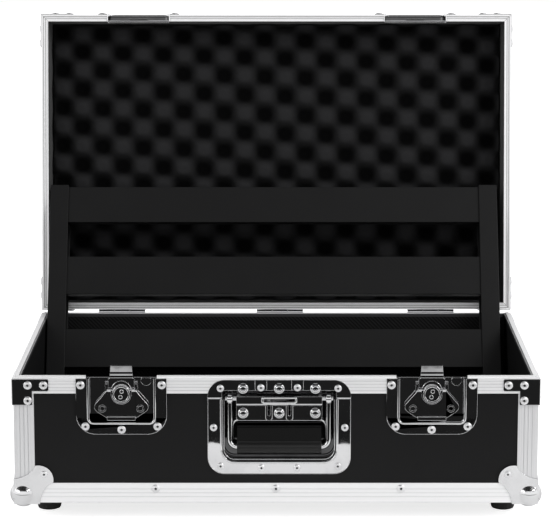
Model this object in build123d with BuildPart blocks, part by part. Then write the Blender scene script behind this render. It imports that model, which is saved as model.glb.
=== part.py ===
"""Guitar pedal case: a plywood flight case with a hinged lid, two butterfly latches, a recessed
spring handle, foam in the lid, and the pedalboard that is kept in it.

Millimetres, +Z up, +Y to the back.  The pieces are drawn with the lid shut, in the case frame:
X from the middle, Y from the front face of the edge extrusions, Z from their bottom face.  Each
body is then moved to where it stands with the lid open, with the origin on the ground under the
middle of the whole.
"""

from build123d import *
from math import cos, radians, sin
import os

# ---------------------------------------------------------------- driving dimensions
WIDTH = 647.0  # over the corner post extrusions, left to right
DEPTH = 405.5  # over the corner post extrusions, front to back
BASE_HEIGHT = 158.4  # bottom extrusion to the top of the base rim
LID_HEIGHT = 78.0  # lid rim to the top of the lid
LID_OPEN = 97.9  # degrees that the lid turns to its open stop
RIM_GAP = 1.0  # between the two rims with the lid shut

WALL = 6.5  # plywood walls
BOTTOM = 7.0  # plywood bottom
LID_TOP = 9.0  # plywood top of the lid
SHEET = 1.5  # thickness of the aluminium extrusions
LEG = 25.0  # leg of an edge or corner extrusion
GROOVE_WIDTH = 1.0
GROOVE_DEPTH = 0.5
SAW_GAP = 0.2  # left between two mitred ends
LINING = 0.5  # lining of the walls
PAD = 2.0  # floor pad

RIM_PROUD = 1.0  # rim beyond the extrusions
RIM_FLANGE = 19.3  # height of the rim's outer flange
RIM_WEB = 3.0  # thickness of the rim across the edge of the wall
RIM_INNER = 4.0  # height of the rim's inner flange
TONGUE_WIDTH = 3.5
TONGUE_HEIGHT = 2.2
TONGUE_CLEARANCE = 0.9
TONGUE_IN = 3.0  # tongue from the extrusions' outer face

BALL_RADIUS = 16.5
BALL_INSET = 9.5
BALL_SHEET = 1.6
BALL_LEG_EDGE = 31.0  # leg's flank on the corner's edge, from the corner
BALL_LEG_WAIST = (12.5, 34.6)  # a point of the hollow flank, across and along
BALL_LEG_SHOULDER = (21.5, 40.5)
BALL_LEG_TIP = (26.0, 47.8)
BALL_LEG_END = 42.6  # middle of the leg's round end from the corner, along both edges
BALL_LEG_CORNER = 2.5
BALL_LEG_RIVET = 36.5

BRACE_SHEET = 1.3
BRACE_ARM = 43.8
BRACE_ARM_HEIGHT = 15.5
BRACE_DROP = 1.0  # from the rim's edge to the brace
BRACE_BALL_GAP = 3.6  # from the brace's foot to the ball corner's shoulder, in the lid
BRACE_POST_WIDTH = 23.5
BRACE_CORNER = 2.0
BRACE_BEND = 1.8  # round of the brace down the case's corner
BRACE_RIVET_NEAR = 18.0  # rivets from the corner
BRACE_RIVET_END = 6.4  # far rivet from the arm's end
BRACE_RIVET_FOOT = 5.8  # lowest rivet above the brace's foot

FOOT_RADIUS = 18.0
FOOT_TAPER = 6.0
FOOT_BELOW_BALLS = 17.7  # ball corners clear the ground by this
FOOT_FROM_SIDE = 36.5
FOOT_FROM_FRONT = 66.5

RIVET_RADIUS = 5.25
RIVET_HEIGHT = 2.0
RIVET_DIMPLE = 1.7
RIVET_TAPER = 35
SMALL_RIVET_RADIUS = 4.4
HINGE_RIVET_RADIUS = 4.0
EDGE_RIVET_XS = (-149.0, 0.0, 155.0)  # along the front and rear edge extrusions
EDGE_RIVET_Z = 18.0
SIDE_RIVET_YS = (-81.6, 81.6)  # along the side edge extrusions, from their middle

LATCH_X = 191.3  # latch from the middle of the two
LATCH_SHIFT = 0.8  # middle of the two latches
DISH_SHEET = 1.2
LATCH_WIDTH = 112.0
LATCH_SIDE_FLANGE = 13.7  # dish flange beside the cup
LATCH_FOOT_FLANGE = 13.1  # dish flange beyond the cup's end
LATCH_EDGE = 0.3  # rim's edge to the dish flange
LATCH_CORNER = 24.0
LATCH_RIM_RIVET_IN = 6.0  # from the dish's side
LATCH_RIM_RIVET_Z = 8.4  # from the rim's edge
LATCH_FOOT_RIVET_IN = 11.5
LATCH_FOOT_RIVET_Z = 10.2  # above the flange's low edge
LATCH_MIDDLE_RIVET_Z = 6.2
CUP_CORNER = 8.0
CUP_UNDER_WING = 0.4  # swung wing to the cup's end
CUP_EDGE = 0.5  # cup's walls below the rim's edge
LID_CUP_ROOM = 11.9  # swung wing to the end of the lid's cup
LID_DISH_CORNER = 10.0
JOGGLE = 1.6  # height over which a dish flange steps out onto the rim
JOGGLE_DROP = 4.6  # dish flange runs on straight past the rim's flange
PAD_HALF = 20.0  # guide pad behind the hasp
PAD_BELOW = 26.0
PAD_ABOVE = 14.0
GUIDE_BELOW = 18.0  # guides beside the hasp
GUIDE_ABOVE = 12.0
GUIDE_ROOM = 0.4
STUD_X = 30.5  # round stud in the cup, from the rotor axis
STUD_DROP = 4.4
STUD_RADIUS = 6.4
STUD_HEIGHT = 2.0
CATCH_LOW = 1.0  # catch bar from the lid's rim
CATCH_HIGH = 3.2

ROTOR_DROP = 20.0  # rotor axis below the rim's edge
ROTOR_RADIUS = 11.2
ROTOR_ROUND = 0.8
ROTOR_RING = 2.2
ROTOR_SINK = 0.7
ROTOR_STUD_RADIUS = 2.2
ROTOR_STUDS = ((0.7, 3.6), (-0.9, -3.4))
CAM_RADIUS = 12.3
CAM_THROW = 4.0
SHAFT_RADIUS = 4.0
RUNNING = 0.05  # radial clearance of a shaft in its bore
WING_PIN_RADIUS = 1.0
WING_PIN_HALF = 17.0
WING_KNUCKLE_RADIUS = 2.0
WING_KNUCKLE_X = 14.8
WING_KNUCKLE_WIDTH = 4.4
WING_PIN_RISE = 5.2  # wing's pin above the rotor axis
WING_SIDE_ROOM = 4.2  # swung wing to the cup's side
WING_TIP_RADIUS = 7.1
WING_TIP_ANGLE = 32.2  # of the tips below level
WING_TOP = (14.5, 1.8)  # x and radius of the wing's upper corners
WING_LOW = (15.0, 6.0)
WING_LOW_IN = 12.7  # centres of the lower corners from the swing's reach
WING_LIP_HALF = 17.5
WING_LIP_IN = 5.1  # lip's low face from the swing's reach
WING_LIP = 4.5
WING_LIP_PROUD = 2.0
WING_DISC_IN = (2.8, 1.8)  # raised disc from the tip's centre, inwards and down
WING_DISC_RADIUS = 4.4
WING_DISC_HOLLOW = 3.2
WING_DISC_PROUD = 0.5
WING_ROTOR_ROOM = 1.2
WING_TOP_CUT = 12.0  # height of the cut between the knuckles
HASP_HALF = 16.2
HASP_TOP_HALF = 13.0
HASP_NECK_HALF = 14.8  # hook at the rim
HASP_RISE = 15.0  # hook beyond the rim's edge with the latch undone
HASP_BELOW = 14.0  # below the rotor axis
HOOK_HEIGHT = 2.5
HOOK_ROUND = 1.2

HANDLE_X = 4.0
HANDLE_WIDTH = 177.0
HANDLE_EDGE = 2.0  # rim's edge to the handle plate
HANDLE_HEIGHT = 120.0
HANDLE_CORNER = 21.0
HANDLE_OPENING_HALF = 70.5
HANDLE_OPENING_HEIGHT = 90.3
HANDLE_UNDER_RIM = 11.4  # top of the opening below the rim's inner flange
HANDLE_TONGUE_HALF = 53.0
HANDLE_TONGUE_UNDER = 18.6  # tongue below the top of the opening
TONGUE_ROLL = 1.9  # radius of the tongue's rolled edge
HANDLE_WINDOW_HALF = 20.2  # window in the tongue, above its rolled edge
HANDLE_WINDOW_HEIGHT = 5.2
HANDLE_WINDOW_CORNER = 2.0
HANDLE_NOTCH_X = 22.5  # notches in the plate's upper edge
HANDLE_NOTCH_RADIUS = 7.25
HANDLE_NOTCH_DEPTH = 9.9
HANDLE_NOTCH_SINK = 0.7  # pressed notches, below the plate's face
HANDLE_DEPTH = 16.2  # back of the handle dish from the extrusions' front face
HANDLE_CORNER_IN = 15.0
HANDLE_RIVET_RADIUS = 4.6
AXLE_UNDER = 12.0  # axle below the top of the opening
AXLE_Y = 6.8
AXLE_RADIUS = 3.0
AXLE_PAST = 2.0  # axle beyond the arms
BRACKET_SET = 0.7  # bracket's plate behind the dish flange
BRACKET_SHEET = 1.8
BRACKET_BELOW = 26.6  # below the axle
BRACKET_CORNER = 4.0
BRACKET_POST_RADIUS = 5.0
BRACKET_GAP = 0.8  # bracket's plate below the tongue
EAR_OUT = 52.0
EAR_WIDTH = 4.0
EAR_ABOVE = 4.6
EAR_BEHIND = 5.5
KEYHOLE_X = 12.7
KEYHOLE_WIDTH = 3.2
KEYHOLE_LOW = 18.6  # round end of the keyhole below the axle
KEYHOLE_RIM = 2.5  # raised rim round the keyhole
KEYHOLE_FOOT = 4.0  # rim below the keyhole's round end
KEYHOLE_PROUD = 0.8
SPRING_IN = 26.0
SPRING_LENGTH = 21.5
SPRING_WALL = 1.6
SPRING_ROOM = 0.1
BAIL_ARM_IN = 57.5
BAIL_ARM_WIDTH = 7.0
BAIL_ARM_HALF = 3.6
BAIL_ROD_RADIUS = 4.0
BAIL_ROD_EYE = 1.6
GRIP_HALF = 52.2
GRIP_Y = 4.6
GRIP_SWING = 60.3  # grip below the axle
GRIP_RADIUS = 9.3
GRIP_FACET_HIGH = 25.6  # facet's upper edge above the roll's middle
GRIP_FACET_LOW = 5.0
GRIP_FACET_HALF = 6.6
GRIP_FACET_BACK = 3.4
GRIP_FACET_FRONT = 3.6
BOLT_RADIUS = 6.5
BOLT_HEIGHT = 3.0
BOLT_TAPER = 22
BOLT_SOCKET = 2.3
BOLT_SOCKET_DEPTH = 1.6
BOLT_PITCH = 44.5
BOLT_ABOVE = 14.6  # upper bolts above the axle
BOLT_BELOW = 17.2

HINGE_XS = (-214.0, 5.0, 214.0)
HINGE_WIDTH = 64.0
HINGE_SHEET = 1.5
KNUCKLE_RADIUS = 3.0
HINGE_PIN_RADIUS = 1.5
HINGE_CLEARANCE = 0.4  # knuckle to the rims
HINGE_RIVET_X = 22.0
KNUCKLE_GAP = 0.4
KNUCKLE_WEB = 2.0  # web of a knuckle on its leaf
LEAF_HEIGHT = 20.0
LEAF_RIVET = 12.0  # rivets from the leaf's knuckle edge

FOAM_DEPTH = 20.0
SOFT_CLEARANCE = 0.5

BOARD_SIDE_ROOM = 6.0  # board to the rim's inner flange, on both sides
BOARD_SHIFT = -3.6
BOARD_LENGTH = 339.0
BOARD_LEAN = 26.4  # degrees back from upright
RAIL_WIDTH = 25.0
RAIL_DEPTH = 42.0
RAIL_SHEET = 2.5
SLAT_WIDTH = 53.5
SLAT_PITCH = 103.0
SLAT_DEPTH = 12.0
FRONT_BAR_WIDTH = 30.0
BOARD_FOOT_RADIUS = 10.0
BOARD_FOOT_HEIGHT = 8.0
BOARD_FOOT_TAPER = 8
BOARD_FOOT_ENDS = 30.0
REST_CLEARANCE = 0.3
EDGE_CLEARANCE = 0.1  # between plates that meet edge to edge
PAST = 1.0  # a cutter runs past the face that it opens
FAR = 99.0  # reach of a cutter that trims a corner

# ---------------------------------------------------------------- worked out from them
WALL_OUT = SHEET  # outer face of a wall, from the extrusions' outer face
WALL_IN = WALL_OUT + WALL
FLOOR = SHEET + BOTTOM
PAD_TOP = FLOOR + PAD
RIM_IN = WALL_IN + LINING  # inner face of the rim's inner flange
LID_RIM = BASE_HEIGHT + RIM_GAP
LID_TOP_Z = LID_RIM + LID_HEIGHT
LID_CEILING = LID_TOP_Z - SHEET - LID_TOP
HINGE_Y = DEPTH + RIM_PROUD + HINGE_CLEARANCE + KNUCKLE_RADIUS
HINGE_Z = BASE_HEIGHT + RIM_GAP / 2
HINGE_RIVET_LOW = HINGE_Z - KNUCKLE_RADIUS - LEAF_RIVET
HINGE_RIVET_HIGH = HINGE_Z + KNUCKLE_RADIUS + LEAF_RIVET
ALONG = (WIDTH, DEPTH, WIDTH, DEPTH)  # length of wall 0 front, 1 right, 2 rear, 3 left
ACROSS = (DEPTH, WIDTH, DEPTH, WIDTH)
BRACE_OUT = -RIM_PROUD - BRACE_SHEET
BRACE_HEIGHT = LID_HEIGHT - BALL_LEG_SHOULDER[1] - BRACE_BALL_GAP - BRACE_DROP
UNDER_RIM = RIM_FLANGE + EDGE_CLEARANCE  # from the rim's edge to what starts below its flange
FLANGE_OUT = SHEET - DISH_SHEET  # outer face of a dish flange on the wall
FLANGE_RIM_OUT = -RIM_PROUD - DISH_SHEET  # outer face of a dish flange on the rim
CUP_FLOOR = WALL_IN - DISH_SHEET
LATCH_Z = BASE_HEIGHT - ROTOR_DROP
CUP_HALF = LATCH_WIDTH / 2 - LATCH_SIDE_FLANGE
WING_SWING = CUP_HALF - WING_SIDE_ROOM  # furthest point of the wing from the rotor axis
CUP_HEIGHT = ROTOR_DROP + WING_SWING + CUP_UNDER_WING
LATCH_HEIGHT = CUP_HEIGHT + LATCH_FOOT_FLANGE
LID_CUP_HEIGHT = WING_SWING - ROTOR_DROP - RIM_GAP + LID_CUP_ROOM
LID_DISH_HEIGHT = LID_CUP_HEIGHT + LATCH_FOOT_FLANGE
WING_TIP_X = (WING_SWING - WING_TIP_RADIUS) * cos(radians(WING_TIP_ANGLE))
WING_TIP_Z = LATCH_Z - (WING_SWING - WING_TIP_RADIUS) * sin(radians(WING_TIP_ANGLE))
WING_LOW_Z = LATCH_Z - WING_SWING + WING_LOW_IN

# Layers of the latch, from the cup floor outwards.
CATCH_FRONT = CUP_FLOOR - 1.8
PAD_FACE = CUP_FLOOR - 3.2
HASP_BACK = PAD_FACE - REST_CLEARANCE
HASP_FRONT = HASP_BACK - 1.4
HOOK_BACK = CATCH_FRONT - 0.4
CAM_BACK = HASP_FRONT - 0.2
CAM_FRONT = CAM_BACK - 1.1
WING_BACK = CAM_FRONT - 0.2
WING_FRONT = WING_BACK - 1.8
WING_Y = (WING_BACK + WING_FRONT) / 2
ROTOR_FRONT = WING_FRONT - 2.2
WING_PIN_Z = LATCH_Z + WING_PIN_RISE

# Heights of the handle, from the rim down.
HANDLE_HIGH = BASE_HEIGHT - HANDLE_EDGE
HANDLE_LOW = HANDLE_HIGH - HANDLE_HEIGHT
HANDLE_OPENING_HIGH = BASE_HEIGHT - RIM_INNER - HANDLE_UNDER_RIM
HANDLE_OPENING_LOW = HANDLE_OPENING_HIGH - HANDLE_OPENING_HEIGHT
HANDLE_TONGUE_LOW = HANDLE_OPENING_HIGH - HANDLE_TONGUE_UNDER
HANDLE_FLOOR = HANDLE_DEPTH - DISH_SHEET
AXLE_Z = HANDLE_OPENING_HIGH - AXLE_UNDER
GRIP_Z = AXLE_Z - GRIP_SWING
BRACKET_FRONT = FLANGE_OUT + BRACKET_SET
BRACKET_BACK = BRACKET_FRONT + BRACKET_SHEET
BOLT_XS = (-BOLT_PITCH, 0, BOLT_PITCH)
HANDLE_RIVETS = ((72.4, FLANGE_RIM_OUT, HANDLE_HIGH - 10.6),  # on both sides of the middle
                 (HANDLE_NOTCH_X, FLANGE_RIM_OUT + HANDLE_NOTCH_SINK,
                  HANDLE_HIGH - HANDLE_NOTCH_DEPTH),
                 (81.0, FLANGE_OUT, HANDLE_LOW + 59.2),
                 (72.5, FLANGE_OUT, HANDLE_LOW + 10.1),
                 (22.0, FLANGE_OUT, HANDLE_LOW + 8.0))

# Front-most point: a ball corner.  Rear-most point: a ball corner of the open lid.
BALL_PROUD = BALL_RADIUS - BALL_INSET
FOOT_HEIGHT = BALL_PROUD + FOOT_BELOW_BALLS  # ground to the bottom extrusions
LID_FAR_BALL_Y = HINGE_Y - BALL_INSET
LID_FAR_BALL_Z = LID_TOP_Z - BALL_INSET - HINGE_Z
REAR_REACH = (HINGE_Y - LID_FAR_BALL_Y * cos(radians(LID_OPEN))
              + LID_FAR_BALL_Z * sin(radians(LID_OPEN)) + BALL_RADIUS)
MIDDLE_Y = (REAR_REACH - BALL_PROUD) / 2

# ---------------------------------------------------------------- where each body stands
BASE_AT = Location((0, -MIDDLE_Y, FOOT_HEIGHT))
HINGE_AT = Location((0, HINGE_Y, HINGE_Z))
LID_AT = BASE_AT * HINGE_AT * Location((0, 0, 0), (-LID_OPEN, 0, 0)) * HINGE_AT.inverse()
LEAN_SIN = sin(radians(BOARD_LEAN))
LEAN_COS = cos(radians(BOARD_LEAN))
BOARD_WIDTH = WIDTH - 2 * (RIM_IN + BOARD_SIDE_ROOM)
BOARD_Z = PAD_TOP + REST_CLEARANCE
BOARD_Y = (DEPTH - RIM_IN - REST_CLEARANCE / LEAN_COS
           - (BASE_HEIGHT - BOARD_Z) * LEAN_SIN / LEAN_COS)
BOARD_PLANE = Plane(origin=(BOARD_SHIFT, BOARD_Y, BOARD_Z), x_dir=(1, 0, 0),
                    z_dir=(0, -LEAN_COS, LEAN_SIN))
BOARD_AT = BASE_AT * BOARD_PLANE.location


def wall_at(wall):
    """Wall frame: x along the wall from its middle, y inwards from the extrusions, z up."""
    turn = Location((0, DEPTH / 2, 0), (0, 0, 90 * wall))
    return turn * Location((0, -ACROSS[wall] / 2, 0))


def corner_at(wall):
    """Corner frame at the start of a wall: x along the wall, y inwards, z up."""
    return wall_at(wall) * Location((-ALONG[wall] / 2, 0, 0))


def lid_flip(shape):
    """Turn a piece drawn for the bottom of the base into the same piece at the top of the lid."""
    return shape.mirror(Plane.XY).moved(Location((0, 0, LID_TOP_Z)))


def block(x0, x1, y0, y1, z0, z1, mode=Mode.ADD):
    """Box between two corners, inside a part's block."""
    with Locations(((x0 + x1) / 2, (y0 + y1) / 2, (z0 + z1) / 2)):
        Box(x1 - x0, y1 - y0, z1 - z0, mode=mode)


def write(name, place, *pieces):
    """Write one node: its pieces as separate solids, moved to where their body stands."""
    solids = [solid.moved(place) for piece in pieces for solid in piece.solids()]
    node = solids[0] if len(solids) == 1 else Compound(children=solids)
    node.label = name
    export_step(node, f"parts/{name}.step")


# ---------------------------------------------------------------- extrusions
def angle_bar(length, mitres_low, mitres_high):
    """Grooved angle along x from its corner line, legs along +y and +z, ends mitred both ways."""
    with BuildPart() as bar:
        with BuildSketch(Plane.YZ.offset(-length / 2)):
            Rectangle(LEG, SHEET, align=Align.MIN)
            Rectangle(SHEET, LEG, align=Align.MIN)
            for step in (0.3, 0.5, 0.7):
                with Locations((step * LEG, 0)):
                    Rectangle(GROOVE_WIDTH, 2 * GROOVE_DEPTH, mode=Mode.SUBTRACT)
                with Locations((0, step * LEG)):
                    Rectangle(2 * GROOVE_DEPTH, GROOVE_WIDTH, mode=Mode.SUBTRACT)
        extrude(amount=length)
        for end, cut in ((-1, mitres_low), (1, mitres_high)):
            at = (end * (length / 2 - SAW_GAP), 0, 0)
            if cut:
                split(bisect_by=Plane(origin=at, z_dir=(-end, -1, 0)), keep=Keep.TOP)
                split(bisect_by=Plane(origin=at, z_dir=(-end, 0, -1)), keep=Keep.TOP)
    return bar.part


def post_bar(height):
    """Corner post in the corner frame, mitred at its foot and square at the rim."""
    bar = angle_bar(height, True, False)
    upright = Plane(origin=(0, 0, height / 2), x_dir=(0, 0, 1), z_dir=(0, 1, 0))
    return bar.moved(upright.location)


def rim_bar(length, tongue, notches):
    """Rim along x in the wall frame, z up from its mating face down to -RIM_FLANGE."""
    long = length + 4 * RIM_PROUD
    with BuildPart() as bar:
        with BuildSketch(Plane.YZ.offset(-long / 2)):
            with Locations((-RIM_PROUD, -RIM_FLANGE)):
                Rectangle(RIM_PROUD + WALL_OUT, RIM_FLANGE, align=Align.MIN)
            with Locations((-RIM_PROUD, -RIM_WEB)):
                Rectangle(RIM_PROUD + RIM_IN, RIM_WEB, align=Align.MIN)
            with Locations((WALL_IN, -RIM_INNER)):
                Rectangle(RIM_IN - WALL_IN, RIM_INNER, align=Align.MIN)
            for step in (0.2, 0.4, 0.6, 0.8):
                with Locations((-RIM_PROUD, -step * RIM_FLANGE)):
                    Rectangle(2 * GROOVE_DEPTH, GROOVE_WIDTH, mode=Mode.SUBTRACT)
            if tongue:
                with Locations((TONGUE_IN, 0)):
                    Rectangle(TONGUE_WIDTH, TONGUE_HEIGHT, align=Align.MIN)
            else:
                with Locations((TONGUE_IN - TONGUE_CLEARANCE, 0)):
                    Rectangle(TONGUE_WIDTH + 2 * TONGUE_CLEARANCE, 2 * (TONGUE_HEIGHT - RIM_GAP + 0.5),
                              align=(Align.MIN, Align.CENTER), mode=Mode.SUBTRACT)
        extrude(amount=long)
        for end in (-1, 1):
            at = (end * (length / 2 - SAW_GAP), 0, 0)
            split(bisect_by=Plane(origin=at, z_dir=(-end, -1, 0)), keep=Keep.TOP)
        for x_middle, half, y_deep, z_low, z_high in notches:
            block(x_middle - half, x_middle + half, -2 * RIM_PROUD, y_deep, z_low, z_high,
                  mode=Mode.SUBTRACT)
    return bar.part


def latch_x(side):
    """Middle of a latch along the front, side being -1 on the left and 1 on the right."""
    return side * LATCH_X + LATCH_SHIFT


def cup_notch(side):
    """Notch of a latch cup through the outer flange and the web of a front rim."""
    half = CUP_HALF + DISH_SHEET + REST_CLEARANCE
    return (latch_x(side), half, WALL_IN, -2 * RIM_FLANGE, RIM_FLANGE)


# ---------------------------------------------------------------- corner hardware
def ball_corner():
    """Ball corner in the corner frame: a bulb with a diagonal leg on each of three faces."""
    with BuildPart() as ball:
        with Locations((BALL_INSET, BALL_INSET, BALL_INSET)):
            Sphere(BALL_RADIUS)
        for face, outwards in ((Plane.XY, -1), (Plane.XZ, 1), (Plane.YZ, -1)):
            with BuildSketch(face) as leg:
                with BuildLine():
                    flank = [(0, BALL_LEG_EDGE), BALL_LEG_WAIST, BALL_LEG_SHOULDER]
                    Polyline((-BALL_SHEET, -BALL_SHEET), (-BALL_SHEET, BALL_LEG_EDGE), flank[0])
                    ThreePointArc(*flank)
                    Line(BALL_LEG_SHOULDER, BALL_LEG_TIP)
                    ThreePointArc(BALL_LEG_TIP, (BALL_LEG_END, BALL_LEG_END), BALL_LEG_TIP[::-1])
                    Line(BALL_LEG_TIP[::-1], BALL_LEG_SHOULDER[::-1])
                    ThreePointArc(*[point[::-1] for point in reversed(flank)])
                    Polyline((BALL_LEG_EDGE, 0), (BALL_LEG_EDGE, -BALL_SHEET),
                             (-BALL_SHEET, -BALL_SHEET))
                make_face()
                tips = leg.vertices().sort_by_distance(Vector(0, 0, 0))[-2:]
                fillet(tips, BALL_LEG_CORNER)
            extrude(amount=outwards * BALL_SHEET)
        block(0, FAR, 0, FAR, 0, FAR, mode=Mode.SUBTRACT)
    return ball.part


def brace():
    """Corner brace in the corner frame, z from the rim's mating face, wrapped round the corner."""
    top = -BRACE_DROP
    low = top - BRACE_HEIGHT
    with BuildPart() as angle:
        block(BRACE_OUT, BRACE_ARM, BRACE_OUT, BRACE_ARM, top - BRACE_ARM_HEIGHT, top)
        block(BRACE_OUT, BRACE_POST_WIDTH, BRACE_OUT, BRACE_POST_WIDTH, low, top)
        fillet(angle.edges().filter_by(Axis.Z).sort_by_distance((BRACE_OUT, BRACE_OUT, 0))[0],
               BRACE_BEND)
        block(-RIM_PROUD, FAR, -RIM_PROUD, FAR, -UNDER_RIM, 0, mode=Mode.SUBTRACT)
        block(0, FAR, 0, FAR, low, -UNDER_RIM, mode=Mode.SUBTRACT)
        fillet(angle.edges().filter_by(Axis.Y).group_by(Axis.X)[-1], BRACE_CORNER)
        fillet(angle.edges().filter_by(Axis.X).group_by(Axis.Y)[-1], BRACE_CORNER)
    return angle.part


def rivet(radius=RIVET_RADIUS):
    """Domed rivet head on the plane y = 0, facing -y, with its dimple."""
    with BuildPart() as head:
        with BuildSketch(Plane.XZ):
            Circle(radius)
        extrude(amount=RIVET_HEIGHT, taper=RIVET_TAPER)
        with BuildSketch(Plane.XZ.offset(RIVET_HEIGHT)):
            Circle(RIVET_DIMPLE * radius / RIVET_RADIUS)
        extrude(amount=-RIVET_HEIGHT / 2, mode=Mode.SUBTRACT)
    return head.part


def set_rivets(places, frame, radius=RIVET_RADIUS):
    """Copies of a rivet at (x, y, z) places of a frame."""
    head = rivet(radius)
    return [head.moved(frame * Location(place)) for place in places]


def corner_rivets(z_of):
    """Rivets of one corner's brace and ball legs on both of its walls, z given by z_of."""
    high = BASE_HEIGHT - BRACE_DROP - BRACE_ARM_HEIGHT / 2
    low = BASE_HEIGHT - BRACE_DROP - BRACE_HEIGHT + BRACE_RIVET_FOOT
    near = BRACE_RIVET_NEAR
    far = BRACE_ARM - BRACE_RIVET_END
    return [(near, BRACE_OUT, z_of(high)), (far, BRACE_OUT, z_of(high)),
            (near, BRACE_OUT, z_of(low))]


# ---------------------------------------------------------------- latch dishes
def joggle_profile(z_low, z_rim, z_high, thickness):
    """Side outline (y, z) of a flange that lies on the wall and steps out onto the rim."""
    down = 1 if z_high > z_low else -1
    z_bend = z_rim - down * JOGGLE_DROP
    z_step = z_bend - down * JOGGLE
    shift = down * thickness / 2
    inner = [(WALL_OUT, z_low), (WALL_OUT, z_step), (-RIM_PROUD, z_bend), (-RIM_PROUD, z_high)]
    outer = [(-RIM_PROUD, z_high), (-RIM_PROUD, z_bend - shift), (WALL_OUT, z_step - shift),
             (WALL_OUT, z_low)]
    return inner + [(y - thickness, z) for y, z in outer]


def draw_profile(points, half):
    """Extrude a side outline (y, z) to both sides of x = 0, inside a part's block."""
    with BuildSketch(Plane.YZ) as side:
        Polygon(*points, align=None)
    extrude(side.sketch, amount=half, both=True)


def trim_front(z_low, z_rim, z_high):
    """Cut away what stands in front of a joggled flange's outer face."""
    front = joggle_profile(z_low, z_rim, z_high, DISH_SHEET)[4:]
    with BuildSketch(Plane.YZ) as side:
        Polygon(*front, (-FAR, z_low), (-FAR, z_high), align=None)
    extrude(side.sketch, amount=WIDTH / 2, both=True, mode=Mode.SUBTRACT)


def dish_outline(half, low, high, radius, rounded):
    """Outline of a dish flange as a thick plate, with two corners rounded: 0 the low, -1 the high."""
    with BuildPart() as outline:
        block(-half, half, -FAR, FAR, low, high)
        fillet(outline.edges().filter_by(Axis.Y).group_by(Axis.Z)[rounded], radius)
    return outline.part


def cup_block(half, front, back, low, high, radius, rounded):
    """Solid of a cup, with two corners rounded: 0 the low ones, -1 the high ones."""
    with BuildPart() as cup:
        block(-half, half, front, back, low, high)
        fillet(cup.edges().filter_by(Axis.Y).group_by(Axis.Z)[rounded], radius)
    return cup.part


def base_dish():
    """Base half of a latch dish, x = 0 at its middle: flange, cup, guide pad and round stud."""
    low = BASE_HEIGHT - LATCH_HEIGHT
    high = BASE_HEIGHT - LATCH_EDGE
    cup_low = BASE_HEIGHT - CUP_HEIGHT
    rim_edge = BASE_HEIGHT - UNDER_RIM
    half = LATCH_WIDTH / 2
    outline = dish_outline(half, low, high, LATCH_CORNER, 0)
    walls = cup_block(CUP_HALF + DISH_SHEET, FLANGE_RIM_OUT, WALL_IN, cup_low - DISH_SHEET,
                      BASE_HEIGHT - CUP_EDGE, CUP_CORNER + DISH_SHEET, 0)
    with BuildPart() as cup:
        add(walls)
        trim_front(low, rim_edge, BASE_HEIGHT + FAR)
    hollow = cup_block(CUP_HALF, -FAR, CUP_FLOOR, cup_low, BASE_HEIGHT + FAR, CUP_CORNER, 0)
    with BuildPart() as dish:
        draw_profile(joggle_profile(low, rim_edge, high, DISH_SHEET), half)
        add(outline, mode=Mode.INTERSECT)
        add(cup.part)
        add(hollow, mode=Mode.SUBTRACT)
        block(-PAD_HALF, PAD_HALF, PAD_FACE, CUP_FLOOR, LATCH_Z - PAD_BELOW, LATCH_Z + PAD_ABOVE)
        for side in (-1, 1):
            x0, x1 = sorted((side * (HASP_HALF + GUIDE_ROOM), side * PAD_HALF))
            block(x0, x1, HASP_FRONT, PAD_FACE, LATCH_Z - GUIDE_BELOW, LATCH_Z + GUIDE_ABOVE)
        with Locations(Location((0, PAD_FACE, LATCH_Z), (90, 0, 0))):
            Cylinder(SHAFT_RADIUS + RUNNING, 2 * (CUP_FLOOR - PAD_FACE), mode=Mode.SUBTRACT)
        with BuildSketch(Plane.XZ.offset(-CUP_FLOOR)):
            with Locations((STUD_X, BASE_HEIGHT - STUD_DROP)):
                Circle(STUD_RADIUS)
            with Locations((STUD_X, BASE_HEIGHT - CUP_EDGE)):
                Rectangle(2 * STUD_RADIUS, STUD_RADIUS, align=(Align.CENTER, Align.MIN),
                          mode=Mode.SUBTRACT)
        extrude(amount=STUD_HEIGHT)
    return dish.part


def lid_dish():
    """Lid half of a latch dish, lid shut, x = 0 at its middle: flange, cup and catch bar."""
    low = LID_RIM + LATCH_EDGE
    high = LID_RIM + LID_DISH_HEIGHT
    cup_high = LID_RIM + LID_CUP_HEIGHT
    rim_edge = LID_RIM + UNDER_RIM
    half = LATCH_WIDTH / 2
    outline = dish_outline(half, low, high, LID_DISH_CORNER, -1)
    walls = cup_block(CUP_HALF + DISH_SHEET, FLANGE_RIM_OUT, WALL_IN, LID_RIM + CUP_EDGE,
                      cup_high + DISH_SHEET, CUP_CORNER + DISH_SHEET, -1)
    with BuildPart() as cup:
        add(walls)
        trim_front(high, rim_edge, LID_RIM - FAR)
    hollow = cup_block(CUP_HALF, -FAR, CUP_FLOOR, LID_RIM - FAR, cup_high, CUP_CORNER, -1)
    with BuildPart() as dish:
        draw_profile(joggle_profile(high, rim_edge, low, DISH_SHEET), half)
        add(outline, mode=Mode.INTERSECT)
        add(cup.part)
        add(hollow, mode=Mode.SUBTRACT)
        block(-HASP_TOP_HALF, HASP_TOP_HALF, CATCH_FRONT, CUP_FLOOR,
              LID_RIM + CATCH_LOW, LID_RIM + CATCH_HIGH)
    return dish.part


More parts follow.
